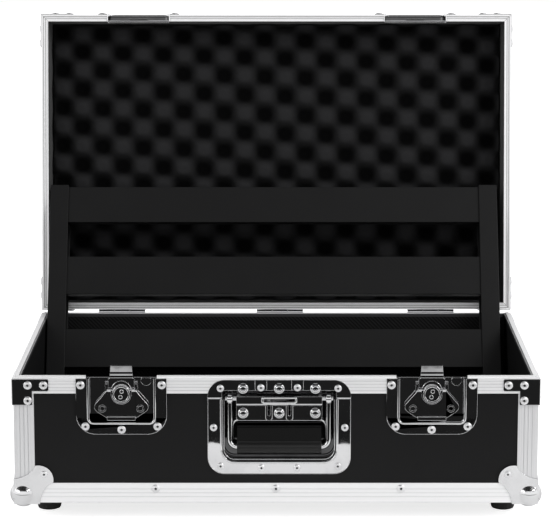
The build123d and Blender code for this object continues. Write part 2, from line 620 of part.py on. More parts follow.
def hasp():
    """Hook plate: a slotted plate with a narrow raised end and a small lip at its back."""
    top = BASE_HEIGHT + HASP_RISE
    travel = 2 * CAM_THROW
    with BuildPart() as plate:
        block(-HASP_HALF, HASP_HALF, HASP_FRONT, HASP_BACK, LATCH_Z - HASP_BELOW,
              BASE_HEIGHT - RIM_GAP)
        with BuildSketch(Plane.XZ.offset(-HASP_BACK)):
            neck = BASE_HEIGHT - RIM_WEB
            Polygon((-HASP_NECK_HALF, neck), (HASP_NECK_HALF, neck), (HASP_TOP_HALF, top),
                    (-HASP_TOP_HALF, top), align=None)
        extrude(amount=HASP_BACK - HASP_FRONT)
        block(-HASP_TOP_HALF, HASP_TOP_HALF, HASP_FRONT, HOOK_BACK, top - HOOK_HEIGHT, top)
        fillet(plate.edges().filter_by(Axis.X).group_by(Axis.Z)[-1].sort_by(Axis.Y)[0], HOOK_ROUND)
        slot_half = SHAFT_RADIUS + REST_CLEARANCE
        block(-slot_half, slot_half, HASP_FRONT - PAST, HASP_BACK + PAST,
              LATCH_Z - slot_half, LATCH_Z + travel + slot_half, mode=Mode.SUBTRACT)
    return plate.part


def rotor():
    """Rotor: round boss, cam, shaft and the two stub pins of the wing."""
    with BuildPart() as turned:
        with BuildSketch(Plane.XZ.offset(-CAM_BACK)):
            with Locations((0, LATCH_Z + CAM_THROW)):
                Circle(CAM_RADIUS)
            with Locations((0, LATCH_Z)):
                Circle(ROTOR_RADIUS)
        extrude(amount=CAM_BACK - CAM_FRONT)
        with BuildSketch(Plane.XZ.offset(-CAM_FRONT)):
            with Locations((0, LATCH_Z)):
                Circle(ROTOR_RADIUS)
        extrude(amount=CAM_FRONT - ROTOR_FRONT)
        fillet(turned.edges().filter_by(GeomType.CIRCLE).sort_by(Axis.Y)[0], ROTOR_ROUND)
        with BuildSketch(Plane.XZ.offset(-ROTOR_FRONT)):
            with Locations((0, LATCH_Z)):
                Circle(ROTOR_RADIUS - ROTOR_RING)
        extrude(amount=-ROTOR_SINK, mode=Mode.SUBTRACT)
        with BuildSketch(Plane.XZ.offset(-ROTOR_FRONT)):
            with Locations(*[(x, LATCH_Z + z) for x, z in ROTOR_STUDS]):
                Circle(ROTOR_STUD_RADIUS)
        extrude(amount=-2 * ROTOR_SINK)
        with BuildSketch(Plane.XZ.offset(-CUP_FLOOR + REST_CLEARANCE)):
            with Locations((0, LATCH_Z)):
                Circle(SHAFT_RADIUS)
        extrude(amount=CUP_FLOOR - REST_CLEARANCE - CAM_BACK)
        with Locations(Location((0, WING_Y, WING_PIN_Z), (0, 90, 0))):
            Cylinder(WING_PIN_RADIUS, 2 * WING_PIN_HALF)
    return turned.part


def wing():
    """Butterfly wing: a plate with two round tips, a finger lip and two knuckles on the pins."""
    disc_x = WING_TIP_X - WING_DISC_IN[0]
    disc_z = WING_TIP_Z - WING_DISC_IN[1]
    lip_z = LATCH_Z - WING_SWING + WING_LIP_IN
    with BuildPart() as plate:
        with BuildSketch(Plane.XZ.offset(-WING_BACK)):
            with BuildSketch(mode=Mode.PRIVATE) as tips:
                with Locations((-WING_TIP_X, WING_TIP_Z), (WING_TIP_X, WING_TIP_Z)):
                    Circle(WING_TIP_RADIUS)
                with Locations((-WING_TOP[0], WING_PIN_Z), (WING_TOP[0], WING_PIN_Z)):
                    Circle(WING_TOP[1])
                with Locations((-WING_LOW[0], WING_LOW_Z), (WING_LOW[0], WING_LOW_Z)):
                    Circle(WING_LOW[1])
            make_hull(tips.edges())
            with Locations((0, LATCH_Z)):
                Circle(ROTOR_RADIUS + WING_ROTOR_ROOM, mode=Mode.SUBTRACT)
            with Locations((0, WING_PIN_Z)):
                Rectangle(2 * (WING_KNUCKLE_X - WING_KNUCKLE_WIDTH / 2), WING_TOP_CUT,
                          mode=Mode.SUBTRACT)
        extrude(amount=WING_BACK - WING_FRONT)
        block(-WING_LIP_HALF, WING_LIP_HALF, WING_FRONT - WING_LIP_PROUD, WING_BACK,
              lip_z, lip_z + WING_LIP)
        with BuildSketch(Plane.XZ.offset(-WING_FRONT)):
            with Locations((-disc_x, disc_z), (disc_x, disc_z)):
                Circle(WING_DISC_RADIUS)
                Circle(WING_DISC_HOLLOW, mode=Mode.SUBTRACT)
        extrude(amount=WING_DISC_PROUD)
        for side in (-1, 1):
            with Locations(Location((side * WING_KNUCKLE_X, WING_Y, WING_PIN_Z), (0, 90, 0))):
                Cylinder(WING_KNUCKLE_RADIUS, WING_KNUCKLE_WIDTH)
        with Locations(Location((0, WING_Y, WING_PIN_Z), (0, 90, 0))):
            Cylinder(WING_PIN_RADIUS + RUNNING, 3 * WING_PIN_HALF, mode=Mode.SUBTRACT)
    return plate.part


# ---------------------------------------------------------------- handle
def handle_dish():
    """Handle dish, x = 0 at its middle: joggled flange with an upper tongue, walls and floor."""
    rim_edge = BASE_HEIGHT - UNDER_RIM
    half = HANDLE_WIDTH / 2
    in_half = HANDLE_OPENING_HALF
    with BuildPart() as outline:
        with BuildSketch(Plane.XZ.offset(FAR)):
            with Locations((0, (HANDLE_LOW + HANDLE_HIGH) / 2)):
                RectangleRounded(2 * half, HANDLE_HIGH - HANDLE_LOW, HANDLE_CORNER)
        extrude(amount=-2 * FAR)
    walls = cup_block(in_half + DISH_SHEET, FLANGE_RIM_OUT, HANDLE_DEPTH,
                      HANDLE_OPENING_LOW - DISH_SHEET, HANDLE_OPENING_HIGH + DISH_SHEET,
                      HANDLE_CORNER_IN + DISH_SHEET, 0)
    with BuildPart() as cup:
        add(walls)
        trim_front(HANDLE_LOW, rim_edge, HANDLE_HIGH)
    hollow = cup_block(in_half, -FAR, HANDLE_FLOOR, HANDLE_OPENING_LOW, HANDLE_OPENING_HIGH,
                       HANDLE_CORNER_IN, 0)
    with BuildPart() as tongue:
        roll_z = HANDLE_TONGUE_LOW + TONGUE_ROLL
        block(-HANDLE_TONGUE_HALF, HANDLE_TONGUE_HALF, FLANGE_RIM_OUT, -RIM_PROUD, roll_z,
              HANDLE_HIGH - HANDLE_CORNER)
        with Locations(Location((0, FLANGE_RIM_OUT + TONGUE_ROLL, roll_z), (0, 90, 0))):
            Cylinder(TONGUE_ROLL, 2 * HANDLE_TONGUE_HALF)
        with BuildSketch(Plane.XZ.offset(FAR)):
            with Locations((0, roll_z + TONGUE_ROLL + HANDLE_WINDOW_HEIGHT / 2)):
                RectangleRounded(2 * HANDLE_WINDOW_HALF, HANDLE_WINDOW_HEIGHT, HANDLE_WINDOW_CORNER)
        extrude(amount=-2 * FAR, mode=Mode.SUBTRACT)
    with BuildPart() as dish:
        draw_profile(joggle_profile(HANDLE_LOW, rim_edge, HANDLE_HIGH, DISH_SHEET), half)
        add(outline.part, mode=Mode.INTERSECT)
        add(cup.part)
        add(hollow, mode=Mode.SUBTRACT)
        add(tongue.part)
        with BuildSketch(Plane.XZ.offset(-FLANGE_RIM_OUT - HANDLE_NOTCH_SINK)):
            for side in (-1, 1):
                with Locations((side * HANDLE_NOTCH_X, HANDLE_HIGH - HANDLE_NOTCH_DEPTH)):
                    Circle(HANDLE_NOTCH_RADIUS)
                with Locations((side * HANDLE_NOTCH_X, HANDLE_HIGH)):
                    Rectangle(2 * HANDLE_NOTCH_RADIUS, 2 * HANDLE_NOTCH_DEPTH)
        extrude(amount=FAR, mode=Mode.SUBTRACT)
    return dish.part


def handle_bracket():
    """Recessed bracket: keyholed plate on three posts, with two ears that hold the axle."""
    plate_high = HANDLE_TONGUE_LOW - BRACKET_GAP
    bolt_z = AXLE_Z - BOLT_BELOW
    with BuildPart() as bracket:
        block(-HANDLE_TONGUE_HALF, HANDLE_TONGUE_HALF, BRACKET_FRONT, BRACKET_BACK,
              AXLE_Z - BRACKET_BELOW, plate_high)
        fillet(bracket.edges().filter_by(Axis.Y).group_by(Axis.Z)[0], BRACKET_CORNER)
        with Locations(*[Location((x, (BRACKET_BACK + HANDLE_FLOOR) / 2, bolt_z), (90, 0, 0))
                         for x in BOLT_XS]):
            Cylinder(BRACKET_POST_RADIUS, HANDLE_FLOOR - BRACKET_BACK)
        for side in (-1, 1):
            x0, x1 = sorted((side * (EAR_OUT - EAR_WIDTH), side * EAR_OUT))
            block(x0, x1, BRACKET_FRONT, AXLE_Y + EAR_BEHIND, bolt_z, AXLE_Z + EAR_ABOVE)
        block(-FAR, FAR, -FAR, WALL_OUT + REST_CLEARANCE, plate_high, HANDLE_HIGH,
              mode=Mode.SUBTRACT)
        with Locations(Location((0, AXLE_Y, AXLE_Z), (0, 90, 0))):
            Cylinder(AXLE_RADIUS, 3 * EAR_OUT, mode=Mode.SUBTRACT)
        keyhole_end = AXLE_Z - KEYHOLE_LOW
        for grow, low, amount, mode in (
                (KEYHOLE_RIM, keyhole_end - KEYHOLE_FOOT, -KEYHOLE_PROUD, Mode.ADD),
                (0, keyhole_end, -BRACKET_SHEET - 2 * PAST, Mode.SUBTRACT)):
            with BuildSketch(Plane.XZ.offset(PAST - BRACKET_FRONT if grow == 0
                                             else KEYHOLE_PROUD - BRACKET_FRONT)):
                for side in (-1, 1):
                    with Locations((side * KEYHOLE_X, (low + plate_high) / 2)):
                        Rectangle(KEYHOLE_WIDTH + 2 * grow, plate_high - low)
                    with Locations((side * KEYHOLE_X, low)):
                        Circle(KEYHOLE_WIDTH / 2 + grow)
            extrude(amount=amount, mode=mode)
    return bracket.part


def handle_axle():
    """Axle of the carrying handle, from arm to arm."""
    with BuildPart() as axle:
        with Locations(Location((0, AXLE_Y, AXLE_Z), (0, 90, 0))):
            Cylinder(AXLE_RADIUS, 2 * (BAIL_ARM_IN + BAIL_ARM_WIDTH + AXLE_PAST))
    return axle.part


def handle_spring(side):
    """Envelope of the coil spring on the axle, between the ears."""
    with BuildPart() as spring:
        with BuildSketch(Plane.YZ.offset(side * SPRING_IN)):
            with Locations((AXLE_Y, AXLE_Z)):
                Circle(AXLE_RADIUS + SPRING_ROOM + SPRING_WALL)
                Circle(AXLE_RADIUS + SPRING_ROOM, mode=Mode.SUBTRACT)
        extrude(amount=side * SPRING_LENGTH)
    return spring.part


def bail():
    """Bail: two arms with eyes on the axle, and the cross rod through the grip."""
    with BuildPart() as frame:
        for side in (-1, 1):
            with BuildSketch(Plane.YZ.offset(side * BAIL_ARM_IN)):
                with Locations((AXLE_Y, AXLE_Z)):
                    Circle(AXLE_RADIUS + BAIL_ARM_HALF)
                with Locations((GRIP_Y, GRIP_Z)):
                    Circle(BAIL_ROD_RADIUS + BAIL_ROD_EYE)
                Polygon((AXLE_Y - BAIL_ARM_HALF, AXLE_Z), (GRIP_Y - BAIL_ARM_HALF, GRIP_Z),
                        (GRIP_Y + BAIL_ARM_HALF, GRIP_Z), (AXLE_Y + BAIL_ARM_HALF, AXLE_Z),
                        align=None)
                with Locations((AXLE_Y, AXLE_Z)):
                    Circle(AXLE_RADIUS + RUNNING, mode=Mode.SUBTRACT)
            extrude(amount=side * BAIL_ARM_WIDTH)
        with Locations(Location((0, GRIP_Y, GRIP_Z), (0, 90, 0))):
            Cylinder(BAIL_ROD_RADIUS, 2 * (BAIL_ARM_IN + PAST))
    return frame.part


def grip():
    """Moulded grip on the cross rod: a round roll with a flat facet above it."""
    low = GRIP_Z + GRIP_FACET_LOW
    high = GRIP_Z + GRIP_FACET_HIGH
    with BuildPart() as mould:
        with BuildSketch(Plane.YZ.offset(-GRIP_HALF)):
            with Locations((GRIP_Y, GRIP_Z)):
                Circle(GRIP_RADIUS)
            Polygon((GRIP_Y - GRIP_FACET_HALF, low), (GRIP_Y - GRIP_FACET_FRONT, high),
                    (GRIP_Y + GRIP_FACET_BACK, high), (GRIP_Y + GRIP_FACET_HALF, low), align=None)
        extrude(amount=2 * GRIP_HALF)
        with Locations(Location((0, GRIP_Y, GRIP_Z), (0, 90, 0))):
            Cylinder(BAIL_ROD_RADIUS, 3 * GRIP_HALF, mode=Mode.SUBTRACT)
    return mould.part


def bolt():
    """Domed bolt head on the plane y = 0, facing -y, with a hexagon socket."""
    with BuildPart() as head:
        with BuildSketch(Plane.XZ):
            Circle(BOLT_RADIUS)
        extrude(amount=BOLT_HEIGHT, taper=BOLT_TAPER)
        with BuildSketch(Plane.XZ.offset(BOLT_HEIGHT)):
            RegularPolygon(BOLT_SOCKET, 6)
        extrude(amount=-BOLT_SOCKET_DEPTH, mode=Mode.SUBTRACT)
    return head.part


# ---------------------------------------------------------------- hinges
def hinge_leaf(low, high, knuckles, web_low, web_high):
    """Hinge leaf on the rear rim: plate, webs and its knuckles round the pin, x = 0 at its middle."""
    plate_front = DEPTH + RIM_PROUD
    with BuildPart() as leaf:
        block(-HINGE_WIDTH / 2, HINGE_WIDTH / 2, plate_front, plate_front + HINGE_SHEET, low, high)
        for x0, x1 in knuckles:
            block(x0, x1, plate_front + HINGE_CLEARANCE, HINGE_Y, web_low, web_high)
            with Locations(Location(((x0 + x1) / 2, HINGE_Y, HINGE_Z), (0, 90, 0))):
                Cylinder(KNUCKLE_RADIUS, x1 - x0)
        with Locations(Location((0, HINGE_Y, HINGE_Z), (0, 90, 0))):
            Cylinder(HINGE_PIN_RADIUS + RUNNING, 2 * HINGE_WIDTH, mode=Mode.SUBTRACT)
    return leaf.part


def hinge_pin():
    """Hinge pin, x = 0 at its middle."""
    with BuildPart() as pin:
        with Locations(Location((0, HINGE_Y, HINGE_Z), (0, 90, 0))):
            Cylinder(HINGE_PIN_RADIUS, HINGE_WIDTH)
    return pin.part


# ---------------------------------------------------------------- walls
def wall_panel(wall, low, high, openings=()):
    """Plywood wall: front and rear run the whole width, the sides stand between them."""
    half = ALONG[wall] / 2 - (WALL_IN if wall % 2 else WALL_OUT)
    with BuildPart() as panel:
        block(-half, half, WALL_OUT, WALL_IN, low, high)
        for x0, x1, z0, z1 in openings:
            block(x0, x1, WALL_OUT - PAST, WALL_IN + PAST, z0, z1, mode=Mode.SUBTRACT)
    return panel.part.moved(wall_at(wall))


def flat_panel(low, high):
    """Plywood bottom or top, under all four walls."""
    with BuildPart() as panel:
        block(-WIDTH / 2 + WALL_OUT, WIDTH / 2 - WALL_OUT, WALL_OUT, DEPTH - WALL_OUT, low, high)
    return panel.part


def lining_ring(low, high, openings=()):
    """Lining on the four walls, in one ring."""
    with BuildPart() as ring:
        block(-WIDTH / 2 + WALL_IN, WIDTH / 2 - WALL_IN, WALL_IN, DEPTH - WALL_IN, low, high)
        block(-WIDTH / 2 + RIM_IN, WIDTH / 2 - RIM_IN, RIM_IN, DEPTH - RIM_IN, low - PAST,
              high + PAST, mode=Mode.SUBTRACT)
        for x0, x1, z0, z1 in openings:
            block(x0, x1, 0, RIM_IN + PAST, z0, z1, mode=Mode.SUBTRACT)
    return ring.part


# ---------------------------------------------------------------- pedalboard
def rail(side):
    """Side rail of the board: a channel open towards the middle, closed at both ends."""
    outer = BOARD_WIDTH / 2
    inner = outer - RAIL_WIDTH
    x0, x1 = sorted((side * inner, side * outer))
    p0, p1 = sorted((side * (inner - PAST), side * (outer - RAIL_SHEET)))
    with BuildPart() as channel:
        block(x0, x1, 0, BOARD_LENGTH, 0, RAIL_DEPTH)
        block(p0, p1, RAIL_SHEET, BOARD_LENGTH - RAIL_SHEET, RAIL_SHEET, RAIL_DEPTH - RAIL_SHEET,
              mode=Mode.SUBTRACT)
    return channel.part


def slat(low, high):
    """Slat between the rails, tucked under their front flanges, hollow below."""
    half = BOARD_WIDTH / 2 - RAIL_SHEET
    low = max(low, RAIL_SHEET)
    high = min(high, BOARD_LENGTH - RAIL_SHEET)
    top = RAIL_DEPTH - RAIL_SHEET
    with BuildPart() as plate:
        block(-half, half, low, high, top - SLAT_DEPTH, top)
        block(-half + RAIL_SHEET, half - RAIL_SHEET, low + RAIL_SHEET, high - RAIL_SHEET,
              top - SLAT_DEPTH - PAST, top - RAIL_SHEET, mode=Mode.SUBTRACT)
    return plate.part


def board_foot(x, y):
    """Rubber foot on the back of a rail."""
    with BuildPart() as foot:
        with BuildSketch():
            with Locations((x, y)):
                Circle(BOARD_FOOT_RADIUS)
        extrude(amount=-BOARD_FOOT_HEIGHT, taper=BOARD_FOOT_TAPER)
    return foot.part


def base_foot(x, y):
    """Tapered rubber foot, its top let in beside the leg of the side's bottom extrusion."""
    side = 1 if x > 0 else -1
    leg_in = WIDTH / 2 - LEG - REST_CLEARANCE
    with BuildPart() as foot:
        with BuildSketch(Plane.XY.offset(SHEET)):
            with Locations((x, y)):
                Circle(FOOT_RADIUS)
        extrude(amount=-FOOT_HEIGHT - SHEET, taper=FOOT_TAPER)
        block(*sorted((side * leg_in, side * WIDTH / 2)), y - FAR, y + FAR, 0, 2 * SHEET,
              mode=Mode.SUBTRACT)
    return foot.part


def build_base():
    """Everything that stands still."""
    cup_half = CUP_HALF + DISH_SHEET + REST_CLEARANCE
    cup_low = BASE_HEIGHT - CUP_HEIGHT - DISH_SHEET - REST_CLEARANCE
    handle_half = HANDLE_OPENING_HALF + DISH_SHEET + REST_CLEARANCE
    handle_low = HANDLE_OPENING_LOW - DISH_SHEET - REST_CLEARANCE
    handle_high = HANDLE_OPENING_HIGH + DISH_SHEET + REST_CLEARANCE
    handle_hole = (HANDLE_X - handle_half, HANDLE_X + handle_half, handle_low, handle_high)
    holes = [(latch_x(side) - cup_half, latch_x(side) + cup_half, cup_low, BASE_HEIGHT)
             for side in (-1, 1)] + [handle_hole]
    top = BASE_HEIGHT - RIM_WEB
    write("base_bottom_panel", BASE_AT, flat_panel(SHEET, FLOOR))
    write("base_front_panel", BASE_AT, wall_panel(0, FLOOR, top, holes))
    for wall, name in ((1, "right"), (2, "rear"), (3, "left")):
        write(f"base_{name}_panel", BASE_AT, wall_panel(wall, FLOOR, top))
    with BuildPart() as pad:
        block(-WIDTH / 2 + WALL_IN, WIDTH / 2 - WALL_IN, WALL_IN, DEPTH - WALL_IN, FLOOR, PAD_TOP)
    write("base_floor_pad", BASE_AT, pad.part)
    write("base_lining", BASE_AT, lining_ring(PAD_TOP, BASE_HEIGHT - RIM_INNER, [handle_hole]))

    write("base_bottom_extrusions", BASE_AT,
          *[angle_bar(ALONG[wall], True, True).moved(wall_at(wall)) for wall in range(4)])
    post = post_bar(BASE_HEIGHT - RIM_FLANGE)
    write("base_corner_extrusions", BASE_AT, *[post.moved(corner_at(wall)) for wall in range(4)])
    handle_notch = (HANDLE_X, handle_half, WALL_OUT, -2 * RIM_FLANGE, handle_high - BASE_HEIGHT)
    notches = {0: [cup_notch(-1), cup_notch(1), handle_notch]}
    at_rim = Location((0, 0, BASE_HEIGHT))
    for wall, name in enumerate(("front", "right", "rear", "left")):
        bar = rim_bar(ALONG[wall], wall != 2, notches.get(wall, []))
        write(f"base_{name}_rim", BASE_AT, bar.moved(wall_at(wall) * at_rim))
    angle = brace()
    write("base_corner_braces", BASE_AT,
          *[angle.moved(corner_at(wall) * at_rim) for wall in range(4)])
    ball = ball_corner()
    write("base_ball_corners", BASE_AT, *[ball.moved(corner_at(wall)) for wall in range(4)])
    write("base_feet", BASE_AT,
          *[base_foot(side * (WIDTH / 2 - FOOT_FROM_SIDE), y)
            for side in (-1, 1) for y in (FOOT_FROM_FRONT, DEPTH - FOOT_FROM_FRONT)])
    rivets = frame_rivets(base_height) + latch_rivets() + hinge_rivets(HINGE_RIVET_LOW)
    write("base_rivets", BASE_AT, *rivets)


def base_height(z):
    """Height of what stands at z on the base."""
    return z


def frame_rivets(z_of):
    """Rivets of the braces, ball legs and edge extrusions of the base or the lid."""
    rivets = []
    small = BALL_LEG_RIVET
    for wall in range(4):
        near = corner_at(wall)
        rivets += set_rivets(corner_rivets(z_of), near, RIVET_RADIUS)
        far = wall_at(wall) * Location((ALONG[wall] / 2, 0, 0))
        mirrored = [(-x, y, z) for x, y, z in corner_rivets(z_of)]
        rivets += set_rivets(mirrored, far, RIVET_RADIUS)
        rivets += set_rivets([(small, -BALL_SHEET, z_of(small))], near, SMALL_RIVET_RADIUS)
        rivets += set_rivets([(-small, -BALL_SHEET, z_of(small))], far, SMALL_RIVET_RADIUS)
        xs = SIDE_RIVET_YS if wall % 2 else EDGE_RIVET_XS
        rivets += set_rivets([(x, 0, z_of(EDGE_RIVET_Z)) for x in xs], wall_at(wall))
    return rivets


def latch_rivets():
    """Rivets of both latch dishes on the base."""
    low = BASE_HEIGHT - LATCH_HEIGHT
    places = []
    for x in (latch_x(-1), latch_x(1)):
        for side in (-1, 1):
            rim_x = x + side * (LATCH_WIDTH / 2 - LATCH_RIM_RIVET_IN)
            foot_x = x + side * (LATCH_WIDTH / 2 - LATCH_FOOT_RIVET_IN)
            places += [(rim_x, FLANGE_RIM_OUT, BASE_HEIGHT - LATCH_RIM_RIVET_Z),
                       (foot_x, FLANGE_OUT, low + LATCH_FOOT_RIVET_Z)]
        places += [(x, FLANGE_OUT, low + LATCH_MIDDLE_RIVET_Z)]
    return set_rivets(places, Location())


def hinge_rivets(z):
    """Rivets of the hinge leaves at one height."""
    back = Location((0, DEPTH + RIM_PROUD + HINGE_SHEET, 0), (0, 0, 180))
    places = [(-x + step, 0, z) for x in HINGE_XS for step in (-HINGE_RIVET_X, HINGE_RIVET_X)]
    return set_rivets(places, back, HINGE_RIVET_RADIUS)


def build_latches():
    """Both latches of the base."""
    dish = base_dish()
    for side, name in ((-1, "left"), (1, "right")):
        at = Location((latch_x(side), 0, 0))
        write(f"latch_{name}_dish", BASE_AT * at, dish)
        write(f"latch_{name}_rotor", BASE_AT * at, rotor())
        write(f"latch_{name}_wing", BASE_AT * at, wing())
        write(f"latch_{name}_hasp", BASE_AT * at, hasp())


def build_handle():
    """The recessed carrying handle."""
    at = BASE_AT * Location((HANDLE_X, 0, 0))
    write("handle_dish", at, handle_dish())
    write("handle_bracket", at, handle_bracket())
    write("handle_axle", at, handle_axle())
    write("handle_springs", at, handle_spring(-1), handle_spring(1))
    write("handle_bail", at, bail())
    write("handle_grip", at, grip())
    head = bolt()
    upper = [head.moved(Location((x, FLANGE_RIM_OUT, AXLE_Z + BOLT_ABOVE))) for x in BOLT_XS]
    lower = [head.moved(Location((x, BRACKET_FRONT, AXLE_Z - BOLT_BELOW))) for x in BOLT_XS]
    write("handle_bolts", at, *upper, *lower)
    rivets = [(side * x, y, z) for x, y, z in HANDLE_RIVETS for side in (-1, 1)]
    write("handle_rivets", at, *set_rivets(rivets, Location(), HANDLE_RIVET_RADIUS))


def build_hinges():
    """Leaves and pins on the back."""
    sixth = HINGE_WIDTH / 6
    gap = KNUCKLE_GAP / 2
    base_knuckles = [(-3 * sixth, -sixth - gap), (sixth + gap, 3 * sixth)]
    lid_knuckles = [(-sixth + gap, sixth - gap)]
    low = HINGE_Z - KNUCKLE_RADIUS
    high = HINGE_Z + KNUCKLE_RADIUS
    base_leaf = hinge_leaf(low - LEAF_HEIGHT, low, base_knuckles, low - KNUCKLE_WEB,
                           low + KNUCKLE_WEB)
    lid_leaf = hinge_leaf(high, high + LEAF_HEIGHT, lid_knuckles, high - KNUCKLE_WEB,
                          high + KNUCKLE_WEB)
    pin = hinge_pin()
    places = [Location((x, 0, 0)) for x in HINGE_XS]
    write("hinge_base_leaves", BASE_AT, *[base_leaf.moved(at) for at in places])
    write("hinge_lid_leaves", LID_AT, *[lid_leaf.moved(at) for at in places])
    write("hinge_pins", BASE_AT, *[pin.moved(at) for at in places])


def build_lid():
    """The lid, drawn shut and moved open."""
    cup_half = CUP_HALF + DISH_SHEET + REST_CLEARANCE
    cup_high = LID_RIM + LID_CUP_HEIGHT + DISH_SHEET + REST_CLEARANCE
    holes = [(latch_x(side) - cup_half, latch_x(side) + cup_half, LID_RIM, cup_high)
             for side in (-1, 1)]
    low = LID_RIM + RIM_WEB
    write("lid_top_panel", LID_AT, flat_panel(LID_CEILING, LID_CEILING + LID_TOP))
    write("lid_front_panel", LID_AT, wall_panel(0, low, LID_CEILING, holes))
    for wall, name in ((1, "right"), (2, "rear"), (3, "left")):
        write(f"lid_{name}_panel", LID_AT, wall_panel(wall, low, LID_CEILING))
    write("lid_lining", LID_AT, lining_ring(LID_RIM + RIM_INNER, LID_CEILING))
    write("lid_edge_extrusions", LID_AT,
          *[lid_flip(angle_bar(ALONG[wall], True, True).moved(wall_at(wall))) for wall in range(4)])
    post = post_bar(LID_HEIGHT - RIM_FLANGE)
    write("lid_corner_extrusions", LID_AT,
          *[lid_flip(post.moved(corner_at(wall))) for wall in range(4)])
    to_rim = Location((0, 0, LID_RIM))
    rims = []
    for wall in range(4):
        notches = [cup_notch(-1), cup_notch(1)] if wall == 0 else []
        bar = rim_bar(ALONG[wall], False, notches)
        rims.append(bar.moved(wall_at(wall)).mirror(Plane.XY).moved(to_rim))
    write("lid_rim_extrusions", LID_AT, *rims)
    angle = brace()
    write("lid_corner_braces", LID_AT,
          *[angle.moved(corner_at(wall)).mirror(Plane.XY).moved(to_rim) for wall in range(4)])
    ball = ball_corner()
    write("lid_ball_corners", LID_AT, *[lid_flip(ball.moved(corner_at(wall))) for wall in range(4)])
    from_middle = LATCH_WIDTH / 2 - LATCH_RIM_RIVET_IN
    places = [(x + side * from_middle, FLANGE_RIM_OUT, LID_RIM + LATCH_RIM_RIVET_Z)
              for x in (latch_x(-1), latch_x(1)) for side in (-1, 1)]
    rivets = frame_rivets(lid_height) + set_rivets(places, Location())
    write("lid_rivets", LID_AT, *rivets, *hinge_rivets(HINGE_RIVET_HIGH))
    dish = lid_dish()
    for side, name in ((-1, "left"), (1, "right")):
        at = Location((latch_x(side), 0, 0))
        write(f"lid_{name}_catch_dish", LID_AT * at, dish)
    inset = RIM_IN + SOFT_CLEARANCE
    with BuildPart() as foam:
        block(-WIDTH / 2 + inset, WIDTH / 2 - inset, inset, DEPTH - inset,
              LID_CEILING - FOAM_DEPTH, LID_CEILING)
    write("lid_foam", LID_AT, foam.part)


def lid_height(z):
    """Height on the shut lid of what stands at z on the base, seen from the rims or the ends."""
    if z > BASE_HEIGHT / 2:
        return LID_RIM + BASE_HEIGHT - z
    return LID_TOP_Z - z


def build_board():
    """The pedalboard, drawn flat on its back and moved to where it leans."""
    write("board_left_rail", BOARD_AT, rail(-1))
    write("board_right_rail", BOARD_AT, rail(1))
    for number, name in enumerate(("upper", "middle", "lower")):
        high = BOARD_LENGTH - number * SLAT_PITCH
        write(f"board_{name}_slat", BOARD_AT, slat(high - SLAT_WIDTH, high))
    write("board_front_bar", BOARD_AT, slat(0, FRONT_BAR_WIDTH))
    foot_x = (BOARD_WIDTH - RAIL_WIDTH) / 2
    write("board_feet", BOARD_AT,
          *[board_foot(side * foot_x, y) for side in (-1, 1)
            for y in (BOARD_FOOT_ENDS, BOARD_LENGTH - BOARD_FOOT_ENDS)])


os.makedirs("parts", exist_ok=True)
build_base()
build_latches()
build_handle()
build_hinges()
build_lid()
build_board()
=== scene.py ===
"""Looks of the guitar pedal case: its finishes, and the pieces that need more shape than the frame
gives them.

Everything is in metres, in the frame's own place.  The case stands on the ground with its handle
towards -Y and its lid open at the back.
"""

import logging
import math
from abc import ABC, abstractmethod
from contextlib import contextmanager
from dataclasses import dataclass
from enum import Enum
from fnmatch import fnmatch
from itertools import pairwise
from typing import Callable, Iterator, Sequence

import bmesh
import bpy
from mathutils import Matrix, Vector

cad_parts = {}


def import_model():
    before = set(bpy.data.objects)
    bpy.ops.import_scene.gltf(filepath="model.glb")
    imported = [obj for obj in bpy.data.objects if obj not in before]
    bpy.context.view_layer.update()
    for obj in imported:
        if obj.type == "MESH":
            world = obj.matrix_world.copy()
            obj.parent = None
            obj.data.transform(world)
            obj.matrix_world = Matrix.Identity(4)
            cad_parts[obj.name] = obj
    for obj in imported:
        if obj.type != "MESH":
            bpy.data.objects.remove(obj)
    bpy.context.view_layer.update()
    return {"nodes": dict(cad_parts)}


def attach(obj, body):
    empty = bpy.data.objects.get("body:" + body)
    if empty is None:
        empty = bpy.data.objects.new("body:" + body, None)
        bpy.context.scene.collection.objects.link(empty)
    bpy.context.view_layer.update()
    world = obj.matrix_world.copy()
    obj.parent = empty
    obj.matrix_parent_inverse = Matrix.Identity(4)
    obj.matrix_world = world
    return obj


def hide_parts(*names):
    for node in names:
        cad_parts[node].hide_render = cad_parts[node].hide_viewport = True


LOG = logging.getLogger("pedal_case")
MM = 0.001

Piece = bpy.types.Object
Material = bpy.types.Material
Socket = bpy.types.NodeSocket
Colour = tuple[float, float, float]
Point = tuple[float, float, float]
# A line of painted shade across a surface: its low and high edge in millimetres, and its share of
# darkness.
Band = tuple[float, float, float]
# A level stage surface: half its width, its front and back y and its height, in metres.
Level = tuple[float, float, float, float]

# The case as it is drawn shut: millimetres from its middle, its front face and its bottom.
WIDTH, DEPTH, BASE_HEIGHT, LID_HEIGHT = 647.0, 405.5, 158.4, 78.0
MIDDLE_Y, GROUND = 271.389, 24.7
HINGE_Y, HINGE_Z, LID_OPEN = 409.9, 158.9, math.radians(97.9)
LID_RIM, LID_CEILING = 159.4, 226.9
RIM_FACE, WALL_FACE, CUP_FLOOR, DISH_FLOOR, PLATE_TOP = -2.2, 0.3, 6.8, 15.0, 132.0
LATCH_X, LATCH_SHIFT, CUP_HALF, CUP_LOW, CUP_CORNER = 191.3, 0.8, 42.3, 99.9, 8.0
HANDLE_X, AXLE_Y, AXLE_Z = 4.0, 6.8, 131.0
GRIP_Y, GRIP_Z = 4.6, 70.7
LEG, RIM_FLANGE = 25.0, 19.3

